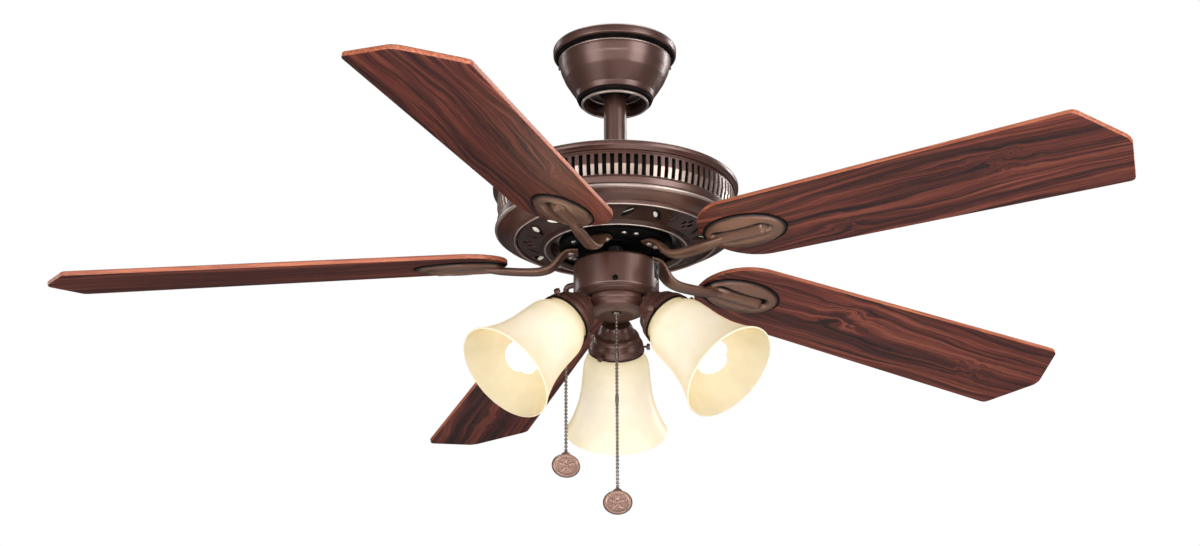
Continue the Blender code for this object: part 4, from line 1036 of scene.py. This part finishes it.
def make_chain_guide(azimuth):
    """The bell-mouthed elbow that the fan chain hangs out of."""
    reach, bend, height = hypot(FAN_CHAIN_X, FAN_CHAIN_Y), 0.005, GUIDE_Z
    way = [(SWITCH_R - 0.0035, height), (SWITCH_R + 0.001, height)]
    way += [(reach - bend + bend * sin(a), height - bend + bend * cos(a))
        for a in (QUARTER * i / 10 for i in range(11))]
    way += [(reach, height - 0.01), (reach, height - 0.015)]
    tube = swept("guide", [(x, 0, z) for x, z in way], 0.0034, 24)
    bell_mouth = [(0.0034, 0.003), (0.0037, -0.0008, 0.0004), (0.0031, -0.002, 0.0004), (0.0022, -0.0018),
        (0.0022, 0.003)]
    mouth = moved(lathe("mouth", bell_mouth, 0.0003, 32), spot(reach, 0, height - 0.015))
    nut = moved(lathe("nut", [(0.0062, 0.001), (0.0062, -0.001), (0.0034, -0.001), (0.0034, 0.001)],
        0.0005, 6), spot(SWITCH_R + 0.0012, 0, height) @ turn(QUARTER, "Y"))
    bore = drum(0.0022, 0.014, spot(reach, 0, height - 0.012))
    made = grown(carved(tube, [bore]), mouth, nut)
    piece("chain_elbow", made, BRONZE, place=turn(azimuth), replaces="fan_chain_guide", angle=40.0)


# Light kit
def lamp_place(azimuth):
    """The frame of a lamp: Z runs down and outward from the narrow end of its cup."""
    start = turn(radians(azimuth)) @ spot(LAMP_R, 0, LAMP_Z)
    return start @ turn(pi - LAMP_TILT, "Y")


def make_fitter():
    top = SWITCH_FOOT - 0.0003
    line = [(0.0475, top + 0.004), (0.0478, top), (SWITCH_R - 0.0002, top, 0.0006),
        (SWITCH_R - 0.0002, top - 0.0012, 0.0006), (0.0462, top - 0.0022, 0.001),
        (0.0448, top - 0.0034, 0.001), (0.0412, top - 0.0042, 0.002), (0.0385, BOWL_TOP + 0.0003)]
    inner = [(0.0365, BOWL_TOP + 0.0003), (0.0366, top - 0.002), (0.044, top - 0.0005),
        (0.0462, top + 0.004)]
    turned("fitter_dish", line + inner, BRONZE, replaces="light_fitter_pan")
    bowl = [(0, BOWL_FOOT + 0.0014), (0.018, BOWL_FOOT + 0.002), (0.0255, BOWL_FOOT + 0.004),
        (0.0315, BOWL_TOP - 0.0124), (0.035, BOWL_TOP), (0.0365, BOWL_TOP, 0.0004),
        (0.0368, BOWL_TOP - 0.005, 0.001), (0.0352, BOWL_TOP - 0.0072, 0.0006),
        (0.0356, BOWL_TOP - 0.0086, 0.001), (0.033, BOWL_TOP - 0.0132, 0.006),
        (0.0268, BOWL_FOOT + 0.002, 0.006), (0.02, BOWL_FOOT + 0.0002, 0.008), (0, BOWL_FOOT)]
    shell = lathe("fitter_shell", bowl, 0.0008, 128, ring=False)
    holes = [drum(0.0036, 0.02, spot(LIGHT_CHAIN_X, LIGHT_CHAIN_Y, BOWL_FOOT))]
    holes += [drum(0.0056, 0.024, lamp_place(a) @ spot(z=-0.004)) for a in LAMP_AZIMUTHS]
    piece("fitter_shell", carved(shell, holes), BRONZE, replaces="fitter_bowl")
    bush = [(0.0033, BOWL_FOOT + 0.004), (0.0033, BOWL_FOOT - 0.0002), (0.006, BOWL_FOOT - 0.0004, 0.001),
        (0.0052, BOWL_FOOT - 0.0026, 0.001), (0.0032, BOWL_FOOT - 0.0028, 0.001),
        (0.0023, BOWL_FOOT - 0.0018), (0.0023, BOWL_FOOT + 0.004)]
    turned("chain_grommet", bush, CHAIN_METAL, 0.0004, 48, slot="antique_chain",
        place=spot(LIGHT_CHAIN_X, LIGHT_CHAIN_Y), replaces="light_chain_bushing")


def shade_profile():
    """The bell's outer line from neck to flared mouth, smoothed through its stations."""
    stations = [(0.0285, 0.0302), (0.0285, 0.038), (0.0318, 0.0412), (0.0352, 0.0462), (0.038, 0.0535),
        (0.0393, 0.0643), (0.0403, 0.0758), (0.0416, 0.0873), (0.0435, 0.098), (0.0459, 0.1083),
        (0.049, 0.118), (0.0522, 0.1263), (0.0556, 0.1342), (0.0606, 0.1432)]
    return [stations[0]] + [(p.x, p.y) for p in smoothed(stations, 4, 1)]


def spiral_lamp():
    """A compact lamp: two tubes wound up a common helix and joined at the tip."""
    radius, tube, base, tip, turns = 0.0158, 0.0046, 0.066, 0.124, 3.6
    count = 150
    way = []
    for i in range(count + 1):
        t = i / count
        angle = FULL * turns * t
        ease = smooth_step(t, 0.88, 1.0)
        r = radius * (1 - ease)
        way.append((r * cos(angle), r * sin(angle), base + (tip - base) * (t + 0.02 * ease)))
    one = swept("helix", way, tube, 14)
    return grown(one, moved(one, turn(pi)))


def make_lamps():
    cup = [(0.005, -0.009), (0.005, 0), (0.0165, 0.0022, 0.002), (0.0188, 0.006, 0.002),
        (0.0212, 0.0124, 0.0012), (0.0222, 0.0136, 0.0006), (0.0262, 0.016, 0.0016),
        (0.0272, 0.0185, 0.002), (0.0276, 0.0215, 0.0008), (0.0288, 0.023, 0.001),
        (0.0312, 0.0272, 0.003), (0.0318, 0.03, 0.002), (0.0318, 0.0338, 0.0006),
        (0.0326, 0.0346, 0.0008), (0.0326, 0.0366, 0.0008)]
    back = [(0.0308, 0.037), (0.0304, 0.0305), (0.027, 0.024), (0.025, 0.0185), (0.02, 0.0148),
        (0.016, 0.0044), (0.004, 0.0024), (0.004, -0.009)]
    cup_mesh = lathe("cup", cup + back, 0.0005, 128)
    edge = lathe("cup_edge", [(0.0329, 0.035), (0.0329, 0.0369), (0.0312, 0.0372), (0.0312, 0.035)],
        0.0004, 128)
    glass = lathe("bell", sheet(shade_profile()[::-1], 0.0022), 0.0008, 144)
    for mat in (GLASS, GLASS_INSIDE):
        glass.materials.append(mat)
    # Inward faces take the darker inside copy; the rim keeps the outer glow, a painted light line round
    # the mouth.
    for face in glass.polygons:
        inward = face.normal.xy.dot(face.center.xy.normalized()) < -0.2
        face.material_index = 1 if inward else 0
    holder = [(0, 0.011), (0.0137, 0.011), (0.0137, 0.04), (0.016, 0.04), (0.016, 0.03, 0.001),
        (0.015, 0.029), (0.015, 0.007, 0.002), (0, 0.006)]
    holder_mesh = lathe("holder", holder, 0.0006, 64, ring=False)
    ballast = [(0, 0.069), (0.017, 0.069, 0.003), (0.02, 0.064, 0.003), (0.0185, 0.054, 0.002),
        (0.0131, 0.043, 0.002), (0.0131, 0.017, 0.002), (0, 0.013)]
    ballast_mesh = lathe("ballast", ballast, 0.0008, 64, ring=False)
    shaft = swept("thumb_shaft", [(0, 0, 0), (0, 0, 0.006)], 0.0014, 12)
    knurl = lathe("thumb_head", [(0, 0.0095), (0.0034, 0.0095), (0.0038, 0.0085), (0.0038, 0.0062),
        (0.003, 0.0055), (0, 0.0055)], 0.0004, 14, ring=False)
    thumb = grown(shaft, knurl)
    helix = spiral_lamp()
    for i, azimuth in enumerate(LAMP_AZIMUTHS, 1):
        place = lamp_place(azimuth)
        piece(f"cup_shell_{i}", cup_mesh.copy(), BRONZE, place=place, replaces=f"socket_cup_{i}")
        piece(f"cup_edge_{i}", edge.copy(), BRONZE_DARK, place=place)
        piece(f"bell_shade_{i}", glass.copy(), None, slot="tea_glass", place=place, replaces=f"shade_{i}",
            angle=60.0)
        piece(f"holder_shell_{i}", holder_mesh.copy(), PORCELAIN, slot="porcelain", place=place,
            replaces=f"lampholder_{i}")
        piece(f"lamp_base_{i}", ballast_mesh.copy(), PORCELAIN, slot="lamp_white", place=place)
        piece(f"lamp_spiral_{i}", helix.copy(), LAMP, slot="lamp_white", place=place,
            replaces=f"bulb_{i}", angle=60.0)
        seats = [place @ facing_out(radians(30.0 + 120 * k), 0.03, 0.0322) for k in range(3)]
        row_of(f"thumb_screw_{i}", thumb, BRONZE, seats)


# Surroundings
def make_world():
    """Plain white behind the object, and a soft grey sky for its light and reflections."""
    world = bpy.data.worlds.new("studio")
    bpy.context.scene.world = world
    world.use_nodes = True
    nodes, link = world.node_tree.nodes, world.node_tree.links.new
    back, seen = nodes["Background"], nodes.new("ShaderNodeBackground")
    back.inputs["Color"].default_value = (0.93, 0.96, 1.0, 1.0)
    seen.inputs["Color"].default_value = (1.0, 1.0, 1.0, 1.0)
    heading = nodes.new("ShaderNodeTexCoord")
    facing = nodes.new("ShaderNodeVectorMath")
    facing.operation = "DOT_PRODUCT"
    facing.inputs[1].default_value = (0, -0.93, -0.36)
    power = nodes.new("ShaderNodeMapRange")
    for socket, value in zip(power.inputs[1:5], (-0.35, 1.0, 0.05, 0.36)):
        socket.default_value = value
    link(heading.outputs["Generated"], facing.inputs[0])
    link(facing.outputs["Value"], power.inputs[0])
    link(power.outputs[0], back.inputs["Strength"])
    mix = nodes.new("ShaderNodeMixShader")
    link(nodes.new("ShaderNodeLightPath").outputs["Is Camera Ray"], mix.inputs[0])
    link(back.outputs[0], mix.inputs[1])
    link(seen.outputs[0], mix.inputs[2])
    link(mix.outputs[0], nodes["World Output"].inputs["Surface"])


def make_light(name, place, size, power):
    lamp = bpy.data.lights.new(name, "AREA")
    lamp.shape = "RECTANGLE"
    lamp.size, lamp.size_y = size
    lamp.energy = power
    obj = added(name, lamp)
    obj.location = place
    obj.rotation_euler = (Vector((0, 0, PLANE)) - Vector(place)).to_track_quat("-Z", "Y").to_euler()
    obj.visible_camera = False


def make_studio():
    make_world()
    make_light("left_softbox", (-2.3, -2.4, -0.5), (1.8, 2.4), 52.0)
    make_light("right_softbox", (2.3, -2.1, -0.2), (1.6, 2.4), 66.0)
    make_light("front_strip", (0, -3.4, -0.55), (3.2, 0.4), 34.0)
    make_light("low_softbox", (0, -1.0, -2.2), (2.6, 1.6), 18.0)
    make_light("right_rim", (1.9, 1.5, 0.62), (0.45, 1.3), 17.0)
    make_light("left_rim", (-1.9, 1.5, 0.62), (0.3, 1.3), 5.0)
    make_light("top_softbox", (0.2, 0.6, 2.4), (2.6, 2.0), 50.0)
    floor_mesh = bpy.data.meshes.new("studio_floor")
    bm = bmesh.new()
    bmesh.ops.create_circle(bm, cap_ends=True, segments=96, radius=9.0)
    bm.to_mesh(floor_mesh)
    bm.free()
    g = Graph("pale_floor", Roughness=0.9)
    seen = g.node("LightPath").outputs["Is Camera Ray"]
    g.set(Base_Color=g.blend(g.noise(3.0, 2.0), (0.86, 0.86, 0.87, 1.0), (0.9, 0.9, 0.9, 1.0)),
        Emission_Color=(0.93, 0.93, 0.94, 1.0), Emission_Strength=g.times(seen, 0.55))
    floor_mesh.materials.append(g.mat)
    floor = added("studio_floor", floor_mesh)
    floor.location = (0, 0, -2.4)


def main():
    for node in ("hanger_bracket", "ball_cross_pin", "yoke_bolt"):
        refinish(node, STEEL)
    for make in (make_canopy, make_rod, make_dome, make_vent_band, make_lower_ring, make_bottom_plate,
            make_motor, make_blades, make_switch_housing, make_fitter, make_lamps, make_studio):
        make()
    bpy.context.scene.view_settings.view_transform = "Standard"


main()
bpy.context.view_layer.update()
